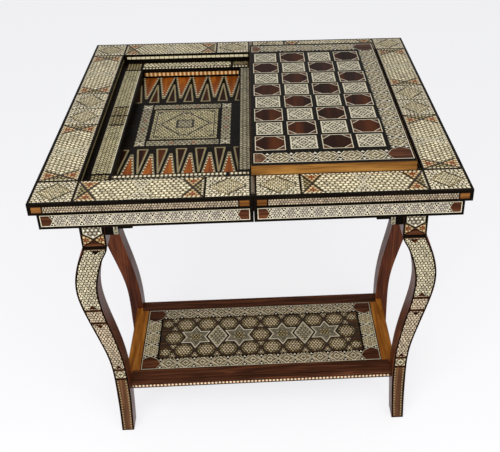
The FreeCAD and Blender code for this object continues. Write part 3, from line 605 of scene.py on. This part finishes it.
apron_low, apron_high = corners_of("apron_right")
APRON_SIDE, APRON_LOW = apron_high.x, apron_low.z
rail_low, rail_high = corners_of("shelf_rail_front")
SHELF, RAIL_LOW, RAIL_FACE = rail_high.z, rail_low.z, -rail_low.y
SHELF_END, SHELF_SIDE = corners_of("shelf_rail_right")[0].x, -rail_high.y


# Leaves of the top

def backgammon_field():
    """The outlines of the points of half a field, and the tablet between them."""
    tiles = []
    points, foot = 6, WELL_END - 0.5
    pitch = (WELL_FAR - WELL_NEAR) / points
    amber_tip, amber_reach, amber_blunt, amber_line = 130, 16.6, 1.2, 3.2
    bead_tip, bead_reach, bead_blunt, bead_line = 134, 15.4, 0.4, 2.2
    walnut_foot, walnut_tip, walnut_reach, walnut_line = 111, 207, 9.5, 3.4
    for end in (-1, 1):
        for place in range(points):
            u = WELL_NEAR + (place + 0.5) * pitch
            for side, layer in ((-1, 1), (1, 2)):
                start = (u + side * amber_reach, end * foot)
                stop = (u + side * amber_blunt, end * amber_tip)
                tiles.append(band("worn", start, stop, amber_line, layer))
                start = (u + side * bead_reach, end * foot)
                stop = (u + side * bead_blunt, end * bead_tip)
                tiles.append(band("beads", start, stop, bead_line, layer + 2))
        # the first and the last walnut point are halves
        for place in range(points + 1):
            u = WELL_NEAR + place * pitch
            sides = [side for side in (-1, 1) if WELL_NEAR < u + side * walnut_reach < WELL_FAR]
            for side in sides:
                start, stop = (u + side * walnut_reach, end * walnut_foot), (u, end * walnut_tip)
                tiles.append(band("worn", start, stop, walnut_line, 1.5 + side / 2))
            reach = [side * (walnut_reach + 1) if side in sides else 0 for side in (-1, 1)]
            start, stop = [(u + away, end * (walnut_foot + 0.5)) for away in reach]
            tiles.append(band("worn", start, stop, walnut_line, 3))
    return tiles + tablet((WELL_NEAR + WELL_FAR) / 2)


def tablet(middle):
    """The panel in the middle of a field: a lozenge in a frame of strips."""
    tiles = []
    strip, frame_u, frame_v = 9.5, 84.5, 85.5
    side_half, end_half, diagonal = 73.5, 71, 2.4
    cross, cross_away = 4.3, 22
    for du in (-1, 1):
        u = middle + du * frame_u
        left, right = u - strip, u + strip
        tiles.append(panel("frames", left, -side_half, right, side_half))
        for away in (-cross_away, cross_away):
            tiles += red_cross(u, away, cross)
        for v in (-frame_v, frame_v):
            low, high = v - strip, v + strip
            tiles.append(panel("frames", left, low, right, high))
            tiles.append(band("bone", (left, low), (right, high), diagonal))
            tiles.append(band("bone", (left, high), (right, low), diagonal, 2))
    for v in (-frame_v, frame_v):
        tiles.append(panel("frames", middle - end_half, v - strip, middle + end_half, v + strip))
        for away in (-cross_away, cross_away):
            tiles += red_cross(middle + away, v, cross)

    # inside the strips: a line with crossed corners, a lozenge with knobs and a small panel
    field_u, field_v, line_in, line = 67, 69, 6, 2.2
    tiles.append(panel("spots", middle - field_u, -field_v, middle + field_u, field_v))
    u, v = field_u - line_in, field_v - line_in
    tiles += ring("line", middle - u, -v, middle + u, v, line, 1)
    reach, flat, side, knob, eye = 51, 7, 3.8, 4.6, 1.8
    lozenge = [(-reach, 0), (-flat, -reach), (flat, -reach), (reach, 0), (flat, reach), (-flat, reach)]
    lozenge = [(middle + u, v) for u, v in lozenge]
    tiles += outline_bands("line", lozenge, side, 2)
    for u, v in lozenge:
        tiles.append(piece("line", round_outline(u, v, knob, 6), 3))
        tiles.append(piece("bone", round_outline(u, v, eye, 6), 4))
    mark_u, mark_v, arm, mark = 55, 57, 6, 2.4
    for u in (middle - mark_u, middle + mark_u):
        for v in (-mark_v, mark_v):
            tiles.append(band("line", (u - arm, v), (u + arm, v), mark, 2))
            tiles.append(band("line", (u, v - arm), (u, v + arm), mark, 3))
    heart_u, heart_v, rim_u, rim_v, rim = 17, 18, 18, 19, 4
    tiles.append(panel("frames", middle - heart_u, -heart_v, middle + heart_u, heart_v, 2))
    return tiles + ring("line", middle - rim_u, -rim_v, middle + rim_u, rim_v, rim, 3)


def framed_strip(u0, u1, v0, v1, count):
    """Hexagons between two pointed walnut blocks, in a thin frame of bone."""
    rim, block = 1.2, 13.8
    start, stop = u0 + rim + block, u1 - rim - block
    low, high = v0 + rim, v1 - rim
    lean = (high - low) / 2 / ROOT3
    tiles = hexagon_strip(start + lean, stop - lean, low, high, count, "grain")
    tiles += pointed_block(u0 + rim, start, low, high)
    tiles += mirrored(pointed_block(rim - u1, -stop, low, high))
    return tiles + ring("bone", u0, v0, u1, v1, rim, 3)


def lip_strip(start, stop):
    """Fine mosaic between two blocks, on the edge of a border."""
    low, high, block, gap = 5, 15.5, 16.2, 2.5
    return [
        panel("russet_walnut", start, low, start + block, high),
        panel("pink", start + block + gap, low, stop - block - gap, high),
        panel("russet_walnut", stop - block, low, stop, high),
    ]


def leaf_inlay(prefix, body, side):
    """The inlay of one leaf, drawn for the right one and turned half round for the left."""
    words = ("front", "rear") if side > 0 else ("rear", "front")

    def face(corner, across, up):
        """A face of the right leaf, or the same one of the left leaf."""
        spin = Vector((side, side, 1))
        return Vector(corner) * spin, across * spin, up * spin

    # borders: mosaic blocks at the corners and the middle, long panels between them
    line, block = 3.4, 72.8
    low, high = 5.5, LEAF_END - RECESS_END - 3
    start, corner, stop = FOLD + 5.7, RECESS_SIDE + 1.5, LEAF_SIDE - 4.5
    row = star_block(start, start + block, low, high)
    row += long_panel(start + block + line, corner - line, low, high)
    row += star_block(corner, stop, low, high)
    near, far = prefix + "_border_" + words[0], prefix + "_border_" + words[1]
    inlay(near + "_inlay", body, [(face((0, -LEAF_END, TOP), X, Y), row)])
    inlay(far + "_inlay", body, [(face((0, LEAF_END, TOP), -X, -Y), mirrored(row))])
    stop = RECESS_END - 2.5
    half = star_block(line / 2, block, low, high)
    half += long_panel(block + line, stop, low, high)
    outer = [(face((LEAF_SIDE, 0, TOP), Y, -X), half + mirrored(half))]
    inlay(prefix + "_border_outer_inlay", body, outer)

    # walls of the recess: a worn line on the long one, dashes on the short ones
    low, high, stop = 6.5, 10.5, RECESS_END - 6.5
    worn = panel("worn", -stop, low, stop, high)
    low, high, start, stop = 7.4, 13, 6, RECESS_SIDE - 7
    walls = [
        (face((RECESS_SIDE, 0, LEDGE), -Y, Z), [worn]),
        (face((0, -RECESS_END, LEDGE), -X, Z), [panel("dashes", -stop, low, -start, high)]),
        (face((0, RECESS_END, LEDGE), X, Z), [panel("dashes", start, low, stop, high)]),
    ]
    inlay(prefix + "_recess_lines", body, walls)

    # ledge round the well: dark blocks and a long panel between two lines on its outer side,
    # a strip and a line of beads at its ends, one strip on the fold rail
    low, high, line = 11, 42, 0.6
    start, block, gap, stop = 2.5, 40, 6, WELL_END - 8.5
    corner, corner_end = stop + 7, stop + 44
    half = [
        panel("smoke", start, low, block, high),
        panel("spots", block + gap, low, stop, high),
        panel("smoke", corner, low, corner_end, high),
        band("bone", (start, high + line), (stop, high + line), 1.6),
        band("pale", (start, low - line), (stop, low - line), 1.4),
    ]
    high, bead_low, bead_high = 33, 37.5, 44.5
    start, block, stop = 7, 42, WELL_FAR - 1
    end = []
    for stuff, left, right in (("smoke", start, block), ("weave", block + gap, stop)):
        end.append(panel(stuff, left, low, right, high))
        end.append(panel("rim_beads", left, bead_low, right, bead_high))
    low, high, stop = 5, WELL_NEAR - FOLD - 3, WELL_END - 7.5
    ledge = [
        (face((RECESS_SIDE, 0, LEDGE), Y, -X), half + mirrored(half)),
        (face((0, -RECESS_END, LEDGE), X, Y), end),
        (face((0, RECESS_END, LEDGE), -X, -Y), mirrored(end)),
        (face((FOLD, 0, LEDGE), -Y, X), [panel("frames", -stop, low, stop, high)]),
    ]
    inlay(prefix + "_ledge_inlay", body, ledge)

    # well: striped lines on its short walls, the field on its floor
    low, high, start, stop = 5, 13, WELL_NEAR + 3.5, WELL_FAR - 4
    sides = [
        (face((0, -WELL_END, WELL_FLOOR), -X, Z), [panel("stripes", -stop, low, -start, high)]),
        (face((0, WELL_END, WELL_FLOOR), X, Z), [panel("stripes", start, low, stop, high)]),
    ]
    inlay(prefix + "_well_lines", body, sides)
    field = [(face((0, 0, WELL_FLOOR), X, Y), backgammon_field())]
    inlay(prefix + "_field_inlay", body, field)

    # edge of the border: fine mosaic between two blocks
    short_lip = lip_strip(FOLD + 6, LEAF_SIDE - 6.5)
    long_lip = lip_strip(6.5 - LEAF_END, LEAF_END - 6.5)
    edges = [
        (face((0, -LEAF_END, LIP), X, Z), short_lip),
        (face((0, LEAF_END, LIP), -X, Z), mirrored(short_lip)),
        (face((LEAF_SIDE, 0, LIP), Y, Z), long_lip),
    ]
    inlay(prefix + "_edge_inlay", body, edges)

    # skirts: a strip of hexagons on each
    low, high, stop = 5.2, 27.2, SKIRT_END - 10
    skirt = framed_strip(FOLD + 6, SKIRT_SIDE - 4.5, low, high, 13)
    long_skirt = framed_strip(-stop, stop, low, high, 28)
    for word, place, tiles in (
        (words[0], face((0, -SKIRT_END, UNDER), X, Z), skirt),
        (words[1], face((0, SKIRT_END, UNDER), -X, Z), mirrored(skirt)),
        ("outer", face((SKIRT_SIDE, 0, UNDER), Y, Z), long_skirt),
    ):
        inlay("%s_skirt_%s_inlay" % (prefix, word), body, [(place, tiles)])


def closed_top_inlay():
    """The outside of the left leaf, which is the top of the table when it is folded."""
    strip, rim, line, end = 33, 1.5, 1.3, SKIRT_END - 15
    near, far = FOLD + 16.5, SKIRT_SIDE - 15.5
    lean = strip / 2 / ROOT3
    tiles = []
    for way in (-1, 1):
        tiles += corner_block(way * end, near, strip, -way, 1)
        tiles += corner_block(way * end, far, strip, -way, -1)
    stop = end - strip - lean
    tiles += hexagon_strip(-stop, stop, near, near + strip, 16)
    tiles += hexagon_strip(-stop, stop, far - strip, far, 16)
    tiles += ring("bone", -end - rim, near - rim, end + rim, far + rim, line, 3)
    tiles += ring("bone", strip - end, near + strip, end - strip, far - strip, line, 3)

    # the field: rounds beside a row of lozenges and stars about a large round
    middle, margin = (near + far) / 2, 5
    wide, high = end - strip - margin, (far - near) / 2 - strip - margin
    tiles.append(panel("rosewood", -wide, middle - high, wide, middle + high))
    pitch, lozenge_u, lozenge_v = 103, 34, 59
    star, star_field, heart = 62, 57, 24
    large, large_field, large_star, sides = 46, 44, 28, 24
    small, small_away = 20, 88
    for u in (-2 * pitch, 2 * pitch):
        left, right, low, top = u - lozenge_u, u + lozenge_u, middle - lozenge_v, middle + lozenge_v
        corners = [(left, middle), (u, low), (right, middle), (u, top)]
        tiles.append(piece("weave", corners, 1))
        tiles += outline_bands("bone", corners, 2, 2)
    for u in (-pitch, pitch):
        tiles.append(piece("bone", star_outline(u, middle, star), 1))
        tiles.append(piece("grey", star_outline(u, middle, star_field), 2))
        tiles.append(piece("medal", round_outline(u, middle, heart), 3))
    tiles.append(piece("bone", round_outline(0, middle, large, sides), 1))
    tiles.append(piece("weave", round_outline(0, middle, large_field, sides), 2))
    tiles.append(piece("crosses", star_outline(0, middle, large_star), 3))
    for step in range(-5, 6):
        for away in (-small_away, small_away):
            mark = round_outline(step * pitch / 2, middle + away, small)
            tiles.append(piece("shade", mark, 1))

    run = hexagon_strip(near + strip + lean, far - strip - lean, 0, strip, 6)
    sheets = [
        ((Vector((0, 0, UNDER)), -Y, -X), tiles),
        ((Vector((0, -end, UNDER)), -X, Y), run),
        ((Vector((0, end, UNDER)), X, -Y), mirrored(run)),
    ]
    inlay("closed_top_inlay", "folding_leaf", sheets)


# Chess boards

def chess_inlay(prefix, body):
    """The black ground, the squares and the border of half a chess board."""
    low, high = corners_of(prefix + "_board")
    left, level, length, half = low.x, high.z, high.x - low.x, high.y
    edge, first, pitch_u, pitch_v = 0.3, 4.5, 61.2, 60.45
    fields = [panel("ebony", edge, edge - half, length - edge, half - edge, -1)]
    for file in range(4):
        for rank in range(8):
            u = first + (file + 0.5) * pitch_u
            v = (rank - 3.5) * pitch_v
            fields += light_square(u, v) if (file + rank) % 2 else dark_square(u, v)
    ground = (Vector((left, 0, level)), X, Y)
    inlay(prefix + "_squares_inlay", body, [(ground, fields)])

    # border: strips along the two ends and the outer side, a tan block at the fold
    width, side, end, line = 34, 4.5, 11, 1.4
    lean = width / 2 / ROOT3
    block_start, start, stop = 5.2, 19, length - side - width
    row = hexagon_strip(start + lean, stop - lean, end, end + width, 5)
    block = pointed_block(block_start, start, end, end + width, "tan_walnut")
    row += block + outline_bands("bone", block[0][1], 1.3, 3)
    row += corner_block(length - side, end, width, -1, 1)
    row.append(band("bone", (start, end - line / 2), (length - 3, end - line / 2), line, 3))
    stop, edge = half - end - width, side - 0.9
    column = hexagon_strip(lean - stop, stop - lean, side, side + width, 12)
    column.append(band("bone", (end - half, edge), (half - end, edge), line, 3))
    border = [
        ((Vector((left, -half, level)), X, Y), row),
        ((Vector((left, half, level)), -X, -Y), mirrored(row)),
        ((Vector((left + length, 0, level)), Y, -X), column),
    ]
    inlay(prefix + "_border_inlay", body, border)


def light_square(u, v):
    """A square of bright mosaic with a frame and two lozenges of bone."""
    wide, high = 24.6, 25.4
    tiles = [panel("squares", u - wide, v - high, u + wide, v + high)]
    tiles += ring("bone", u - wide, v - high, u + wide, v + high, 3)
    for reach, width in ((20, 2.8), (9, 2)):
        lozenge = [(u - reach, v), (u, v - reach), (u + reach, v), (u, v + reach)]
        tiles += outline_bands("bone", lozenge, width)
    return tiles


def dark_square(u, v):
    """A rosewood octagon in a walnut square, with lines of bone round it and across its
    corners."""
    far, near, half, rim = 25.4, 11.5, 26, 27.6
    corners = [(far, -near), (far, near), (near, far), (-near, far)]
    corners += [(-a, -b) for a, b in corners]
    corners = [(u + a, v + b) for a, b in corners]
    tiles = [panel("walnut", u - half, v - half, u + half, v + half)]
    tiles.append(piece("rosewood", corners, 1))
    diagonals = outline_bands("bone", corners, 1.6, 2)
    return tiles + diagonals[::2] + ring("bone", u - rim, v - rim, u + rim, v + rim, 1.5, 3)


# Base

# a leg's sizes and the shares of each stretch that its curve passes through, as in the CAD
# source: share of the way down, of the swing to the side and of the change of width
POST_WIDTH, BLOCK_HEIGHT = 50, 175
KNEE_DROP, KNEE_SWING, KNEE_WIDTH = 125, 32, 44.5
ANKLE_INSET, ANKLE_WIDTH = 7.5, 31
FOOT_INSET, FOOT_WIDTH = 2.8, 28
BLOCK_TO_KNEE = ((0.32, 0.52, 0.20), (0.72, 0.94, 0.55))
KNEE_TO_ANKLE = ((0.19, 0.19, 0.31), (0.41, 0.55, 0.59), (0.69, 0.92, 0.98))
ANKLE_TO_FOOT = ((0.50, 0.36, 0.50),)
BLOCK_LOW = LEG_TOP - BLOCK_HEIGHT


def leg_places():
    """Places down a leg, each with its height, its middle's distance out and its width."""
    post = leg_low.x + POST_WIDTH / 2
    turns = [
        (BLOCK_LOW, post, POST_WIDTH),
        (BLOCK_LOW - KNEE_DROP, post + KNEE_SWING, KNEE_WIDTH),
        ((SHELF + RAIL_LOW) / 2, post - ANKLE_INSET, ANKLE_WIDTH),
        (0, post - FOOT_INSET, FOOT_WIDTH),
    ]
    places = [(LEG_TOP, post, POST_WIDTH), turns[0]]
    stretches = (BLOCK_TO_KNEE, KNEE_TO_ANKLE, ANKLE_TO_FOOT)
    for start, stop, shares in zip(turns, turns[1:], stretches):
        for share in shares + ((1, 1, 1),):
            places.append([a + (b - a) * part for a, b, part in zip(start, stop, share)])
    return places


LEG = leg_places()


def leg_at(height):
    """Distance out and width of a leg at a height, on a smooth curve through its places."""
    step = next(i for i in range(1, len(LEG)) if height >= LEG[i][0])
    a, b = LEG[step - 1], LEG[step]
    if step == 1:
        return a[1:]
    span = a[0] - b[0]
    share = (a[0] - height) / span
    ease = share ** 2 * (3 - 2 * share)
    before = LEG[step - 2]
    after = LEG[step + 1] if step + 1 < len(LEG) else b
    found = []
    for k in (1, 2):
        # the curve leaves the block straight down, and each other place along its neighbours
        leave = (b[k] - before[k]) * span / (before[0] - b[0]) if step > 2 else 0
        reach = (after[k] - a[k]) * span / (a[0] - after[0])
        bend = leave * share * (1 - share) ** 2 - reach * share ** 2 * (1 - share)
        found.append(a[k] + (b[k] - a[k]) * ease + bend)
    return found


def leg_piece(stuff, low, high, edges, layer=1, turn=0.0):
    """A piece that follows the leg between two heights; edges gives its two sides there, from
    the leg's middle and half width."""
    step_length = 8
    steps = max(2, int((high - low) / step_length))
    heights = [low + (high - low) * i / steps for i in range(steps + 1)]
    left, right = [], []
    for height in heights:
        out, width = leg_at(height)
        start, stop = edges(out, width / 2)
        left.append((start, height))
        right.append((stop, height))
    middle = (leg_at((low + high) / 2)[0], (low + high) / 2)
    return piece(stuff, right + left[::-1], layer, middle, turn)


def leg_panel(stuff, low, high, inset, layer=1):
    """A piece as wide as the leg, inset from its edges."""
    return leg_piece(
        stuff, low, high, lambda out, half: (out - half + inset, out + half - inset), layer
    )


def leg_line(stuff, low, high, inset, way, width):
    """A line that runs beside the left or the right edge of the leg."""
    def edges(out, half):
        place = out + way * (half - inset)
        return place - width / 2, place + width / 2

    return leg_piece(stuff, low, high, edges, 2, math.pi / 2)


def leg_tiles():
    """The inlaid face of a leg, from its block to its foot."""
    tiles = [leg_panel("ebony", 1, LEG_TOP - 0.5, 0.5, 0)]

    # the block: a dotted panel that ends in a chevron over two orange triangles
    out = leg_at(LEG_TOP)[0]
    low, high, half = BLOCK_LOW + 2.5, LEG_TOP - 5.5, 18
    eave, peak, middle = low + 31, low + 20, low + 15
    chevron = [(-half, eave), (0, peak), (half, eave), (half, high), (-half, high)]
    chevron = [(out + u, v) for u, v in chevron]
    tiles.append(piece("dots", chevron, 1))
    tiles += outline_bands("bone", chevron, 1.8, 2)
    reach, tip, rise, line, cross, cross_out = 21, 2, 13, 2.6, 3.4, 15
    for way in (-1, 1):
        edge = out + way * reach
        side = [(edge, middle - rise), (edge, middle + rise), (out + way * tip, middle)]
        tiles.append(piece("crosses", side if way > 0 else side[::-1], 1))
        mark = red_cross(out + way * cross_out, middle + 0.5, cross)
        tiles += [lifted(arm, 1) for arm in mark]
        stop = (edge, middle + 1 + rise)
        tiles.append(band("line", (out, middle + 1), stop, line, 3.5 + way / 2))
    foot = reach - 1
    tiles.append(piece("walnut", [(out - foot, low), (out + foot, low), (out, low + rise)], 1))

    # bands of mosaic down the leg, the long ones with a dark point at each end
    high, joint, inset, line = BLOCK_LOW - 6.5, 5.4, 4, 2
    point, point_in, point_share = 10, 2, 0.23
    bands = (("knee", 155, True), ("shin", 29, False), ("shin", 133, True), ("medal", 22, False))
    for stuff, length, pointed in bands:
        low = high - length
        tiles.append(leg_panel(stuff, low, high, inset))
        for height, way in ((low, 1), (high, -1)):
            middle, width = leg_at(height)
            reach = width / 2 - inset
            ends = (middle - reach, height), (middle + reach, height)
            tiles.append(band("tan_walnut", ends[0], ends[1], line, 2))
            if pointed:
                half, base = width * point_share, height + way * point_in
                mark = [(middle - half, base), (middle + half, base), (middle, base + way * point)]
                tiles.append(piece("rosewood", mark if way > 0 else mark[::-1], 3))
        high = low - joint
    low, bead, bead_in, bead_short = 3, 2.2, 2.4, 2
    tiles.append(leg_panel("tan_walnut", low, high, inset))
    for way in (-1, 1):
        start, stop = low + bead_short, high - bead_short
        tiles.append(leg_line("foot_beads", start, stop, inset + bead_in, way, bead))
    return tiles


# the shelf's strips of hexagons: their width, that of their crossed lines, and how far out
# they reach
SHELF_STRIP, SHELF_LINE = 33, 2.6
STRIPS_END, STRIPS_SIDE = SHELF_END - 3.5, SHELF_SIDE - 2.5


def shelf_tiles():
    """The panel of the shelf: strips of hexagons before and behind a net of stars, lozenges
    and medallions."""
    end, side = STRIPS_END, STRIPS_SIDE
    lean = SHELF_STRIP / 2 / ROOT3
    tiles = []
    for way in (-1, 1):
        for dv in (-1, 1):
            tiles += corner_block(way * end, dv * side, SHELF_STRIP, -way, -dv)
    stop = end - SHELF_STRIP - lean
    for low in (-side, side - SHELF_STRIP):
        tiles += hexagon_strip(-stop, stop, low, low + SHELF_STRIP, 12, "medal", "pale", SHELF_LINE)
    rim, line = 1, 1.2
    tiles += ring("bone", -end - rim, -side - rim, end + rim, side + rim, line, 3)

    # the net: dark lines in three directions, and what lies between them
    wide, high = end - SHELF_STRIP - 4, side - SHELF_STRIP - 3
    pitch, row, half, line = 53.4, 46.5, 23.3, 3
    large, small, star, heart = 20.5, 13, 38.4, 17
    lozenge_u, lozenge_v = 22.6, 39.5
    mark_half, outer_mark, inner_mark = 9, (high - 1, high - 17), (half + 4, row - 4)
    corner_u, corner_v = wide - 14.5, high - 18.5
    tiles.append(panel("smoked_walnut", -wide, -high, wide, high))
    for v in (-half, half):
        tiles.append(band("line", (-wide, v), (wide, v), line, 1))
    for step in range(-6, 7):
        for way, layer in ((-1, 2), (1, 3)):
            ends = slanted(step * pitch, row, way, wide, high)
            if max(abs(v) for u, v in ends) <= high + 1:
                tiles.append(band("line", ends[0], ends[1], line, layer))
    kinds = ("round", "star", "lozenge", "star", "round", "star", "lozenge", "star", "round")
    for place, kind in enumerate(kinds):
        u = (place - 4) * pitch
        if kind == "round":
            tiles += medallion(u, 0, large)
        elif kind == "star":
            tiles += outlined("grey", star_outline(u, 0, star))
            tiles.append(piece("smoke", star_outline(u, 0, heart), 7))
        else:
            corners = [(u - lozenge_u, 0), (u, -lozenge_v), (u + lozenge_u, 0), (u, lozenge_v)]
            tiles += outlined("frames", corners)
        for dv in (-1, 1):
            for base, tip in [outer_mark, inner_mark] if kind == "round" else [outer_mark]:
                reach = dv * mark_half
                mark = [(u - reach, dv * base), (u, dv * tip), (u + reach, dv * base)]
                tiles.append(piece("shade", mark if tip > base else mark[::-1], 4))
    for dv in (-1, 1):
        for step in range(-4, 4):
            tiles += medallion((step + 0.5) * pitch, dv * row, large)
        for way in (-1, 1):
            tiles += medallion(way * corner_u, dv * corner_v, small)
    return tiles


def outlined(stuff, corners):
    """A star or lozenge of the shelf, in a line of bone and a wide dark one."""
    dark_line, bone_line = 9, 2.6
    tiles = outline_bands("line", corners, dark_line, 4)
    tiles.append(piece(stuff, corners, 5))
    return tiles + outline_bands("bone", corners, bone_line, 6)


def medallion(u, v, radius):
    """A round of mosaic, brighter in its middle."""
    heart_share = 0.72
    rim, heart = round_outline(u, v, radius), round_outline(u, v, radius * heart_share)
    return [piece("smoke", rim, 4), piece("shade", heart, 5)]


def slanted(u, v, way, wide, high):
    """The ends of a line at 60 degrees through a place, cut at the edges of a field."""
    ends = []
    for edge in (-high, high):
        held = max(-wide, min(wide, u + way * (edge - v) / ROOT3))
        ends.append((held, v + way * (held - u) * ROOT3))
    return ends


def base_inlay():
    """The inlay of the legs, the shelf and the aprons."""
    tiles = leg_tiles()
    for word, across in (("front", X), ("rear", -X)):
        corner = across.cross(Z) * LEG_FACE
        for hand, leg in (("right", tiles), ("left", mirrored(tiles))):
            if word == "rear":
                hand = "left" if hand == "right" else "right"
            name = "leg_%s_%s_inlay" % (word, hand)
            inlay(name, "base", [((corner, across, Z), leg)])

    inlay("shelf_inlay", "base", [((Vector((0, 0, SHELF)), X, Y), shelf_tiles())])
    end, side = STRIPS_END, STRIPS_SIDE
    stop = side - SHELF_STRIP - SHELF_STRIP / 2 / ROOT3
    run = hexagon_strip(-stop, stop, 0, SHELF_STRIP, 3, "stars", "bone", SHELF_LINE)
    ends = [
        ((Vector((end, 0, SHELF)), Y, -X), run),
        ((Vector((-end, 0, SHELF)), -Y, X), run),
    ]
    inlay("shelf_end_inlay", "base", ends)

    # edge of the shelf: a line of beads between two dark ones
    low, high, stop, line = 3, 8.5, 300, 1.8
    edge = [
        panel("shelf_beads", -stop, low, stop, high),
        band("ebony", (-stop - 1, low - 1), (stop + 1, low - 1), line),
        band("ebony", (-stop - 1, high + 1.1), (stop + 1, high + 1.1), line),
    ]
    edges = [
        ((Vector((0, -RAIL_FACE, RAIL_LOW)), X, Z), edge),
        ((Vector((0, RAIL_FACE, RAIL_LOW)), -X, Z), edge),
    ]
    inlay("shelf_edge_inlay", "base", edges)

    # aprons: a strip of hexagons in a frame, and a narrow panel on each bracket end
    low, high, rim, line = 40, 66, 2.5, 1.2
    stop, frame_stop = 270, 292
    apron = hexagon_strip(-stop, stop, low, high, 20)
    apron += ring("bone", -frame_stop, low - rim, frame_stop, high + rim, line, 3)
    bracket, half, bracket_low, bracket_high, edge = 280, 3.5, -42, 34, 0.7
    for u in (-bracket, bracket):
        left, right = u - half, u + half
        apron.append(panel("frames", left, bracket_low, right, bracket_high))
        rim_low, rim_high = bracket_low - edge, bracket_high + edge
        apron += ring("bone", left - edge, rim_low, right + edge, rim_high, 0.9, 2)
    stop, frame_stop = 100, 112
    side = hexagon_strip(-stop, stop, low, high, 8)
    side += ring("bone", -frame_stop, low - rim, frame_stop, high + rim, line, 3)
    sheets = [
        ((Vector((0, -APRON_FACE, APRON_LOW)), X, Z), apron),
        ((Vector((0, APRON_FACE, APRON_LOW)), -X, Z), apron),
        ((Vector((APRON_SIDE, 0, APRON_LOW)), Y, Z), side),
        ((Vector((-APRON_SIDE, 0, APRON_LOW)), -Y, Z), side),
    ]
    inlay("apron_inlay", "base", sheets)


leaf_inlay("right_leaf", "swivel_leaf", 1)
leaf_inlay("left_leaf", "folding_leaf", -1)
closed_top_inlay()
chess_inlay("lower_chess", "lower_half_board")
chess_inlay("upper_chess", "upper_half_board")
base_inlay()


# Woods of the solids

# by a part of a solid's name, the first that fits; every other solid is ebonised
WOODS = {
    "leg_": "mahogany",
    "apron_": "ebony",
    "store_floor": "beech",
    "pivot_rail": "beech",
    "stop_peg": "beech",
    "shelf_rail_front": "walnut",
    "shelf_rail_rear": "walnut",
    "shelf_rail_left": "honey_walnut",
    "shelf_rail_right": "honey_walnut",
    "shelf_panel": "ebony",
    "pivot_bolt": "steel",
    "pivot_washer": "steel",
    "pivot_nut": "steel",
    "hinge": "brass",
    "amber_points": "amber",
    "walnut_points": "rosewood",
    "right_leaf_bottom_board": "beech",
    "_squares": "ebony",
    "chess_board": "pale_walnut",
}
for name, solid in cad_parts.items():
    stuff = next((stuff for part, stuff in WOODS.items() if part in name), "ebony")
    for place in solid.material_slots:
        place.material = FINISH[stuff]


# Studio

def seen_share(tree, hidden, shown):
    """A value that differs for rays the camera sees, straight, mirrored or through glass."""
    path = node(tree, "LightPath")
    seen = path.outputs["Is Camera Ray"]
    for ray in ("Is Glossy Ray", "Is Transmission Ray"):
        seen = node(tree, "Math", {0: seen, 1: path.outputs[ray]}, operation="MAXIMUM")
    return node(tree, "MapRange", {0: seen, 3: hidden, 4: shown})


def studio_floor():
    """A pale floor, nearly white to the camera, that keeps a soft shadow."""
    reach, glow_strength, glow_share = 9, 1.12, 0.66
    shape = bmesh.new()
    bmesh.ops.create_grid(shape, x_segments=1, y_segments=1, size=reach)
    mesh = bpy.data.meshes.new("floor")
    shape.to_mesh(mesh)
    shape.free()
    floor = bpy.data.objects.new("floor", mesh)
    bpy.context.scene.collection.objects.link(floor)
    finish, tree, shader = begin("pale_floor", 0.8)
    shader.inputs["Base Color"].default_value = linear("#f4f4f6")
    glow = node(tree, "Emission", {"Color": linear("#fcfcfe"), "Strength": glow_strength})
    both = node(tree, "MixShader", {0: seen_share(tree, 0.0, glow_share), 1: shader, 2: glow})
    tree.links.new(both.outputs[0], tree.nodes["Material Output"].inputs["Surface"])
    mesh.materials.append(finish)


def lamp(name, place, target, size, power):
    """A square soft light, by its place and target in metres."""
    light = bpy.data.lights.new(name, "AREA")
    light.size = size
    light.energy = power
    made = bpy.data.objects.new(name, light)
    made.location = place
    made.rotation_euler = (Vector(target) - Vector(place)).to_track_quat("-Z", "Y").to_euler()
    bpy.context.scene.collection.objects.link(made)


def photo_camera():
    """The camera as it was fitted to the photo: its place, turns, focal length and the shift
    of the picture's middle, the last two in pixels of the photo."""
    place, width = (0.0152, -1.4836, 1.4311), 500
    yaw, pitch, roll = math.radians(3.26), math.radians(32.67), math.radians(-0.26)
    focal, shift_right, shift_up = 782.7, -50.5, -7.3
    lens = bpy.data.cameras.new("camera")
    lens.sensor_fit = "HORIZONTAL"
    lens.sensor_width = 36
    lens.lens = focal / width * lens.sensor_width
    lens.shift_x = shift_right / width
    lens.shift_y = shift_up / width
    lens.clip_end = 50
    camera = bpy.data.objects.new("camera", lens)
    bpy.context.scene.collection.objects.link(camera)
    level = Vector((math.sin(yaw), math.cos(yaw), 0))
    ahead = level * math.cos(pitch) - Z * math.sin(pitch)
    right = ahead.cross(Z).normalized()
    up = right.cross(ahead)
    tilted_right = right * math.cos(roll) + up * math.sin(roll)
    tilted_up = up * math.cos(roll) - right * math.sin(roll)
    turn = Matrix((tilted_right, tilted_up, -ahead)).transposed().to_4x4()
    camera.matrix_world = Matrix.Translation(place) @ turn
    bpy.context.scene.camera = camera


studio_floor()
lamp("front_softbox", place=(-0.9, -2.5, 1.9), target=(0, 0, 0.45), size=2.2, power=54)
lamp("high_softbox", place=(0.4, -1.5, 2.2), target=(0, 0, 0.6), size=1.6, power=23)
photo_camera()

# the world lights the table less than it shows itself to the camera
WORLD_LIGHT, WORLD_SHOWN = 0.4, 1.0
world = bpy.data.worlds.new("studio")
world.use_nodes = True
bpy.context.scene.world = world
background = world.node_tree.nodes["Background"]
background.inputs["Color"].default_value = (1, 1, 1, 1)
strength = seen_share(world.node_tree, WORLD_LIGHT, WORLD_SHOWN)
world.node_tree.links.new(strength.outputs[0], background.inputs["Strength"])
bpy.context.scene.view_settings.view_transform = "Standard"
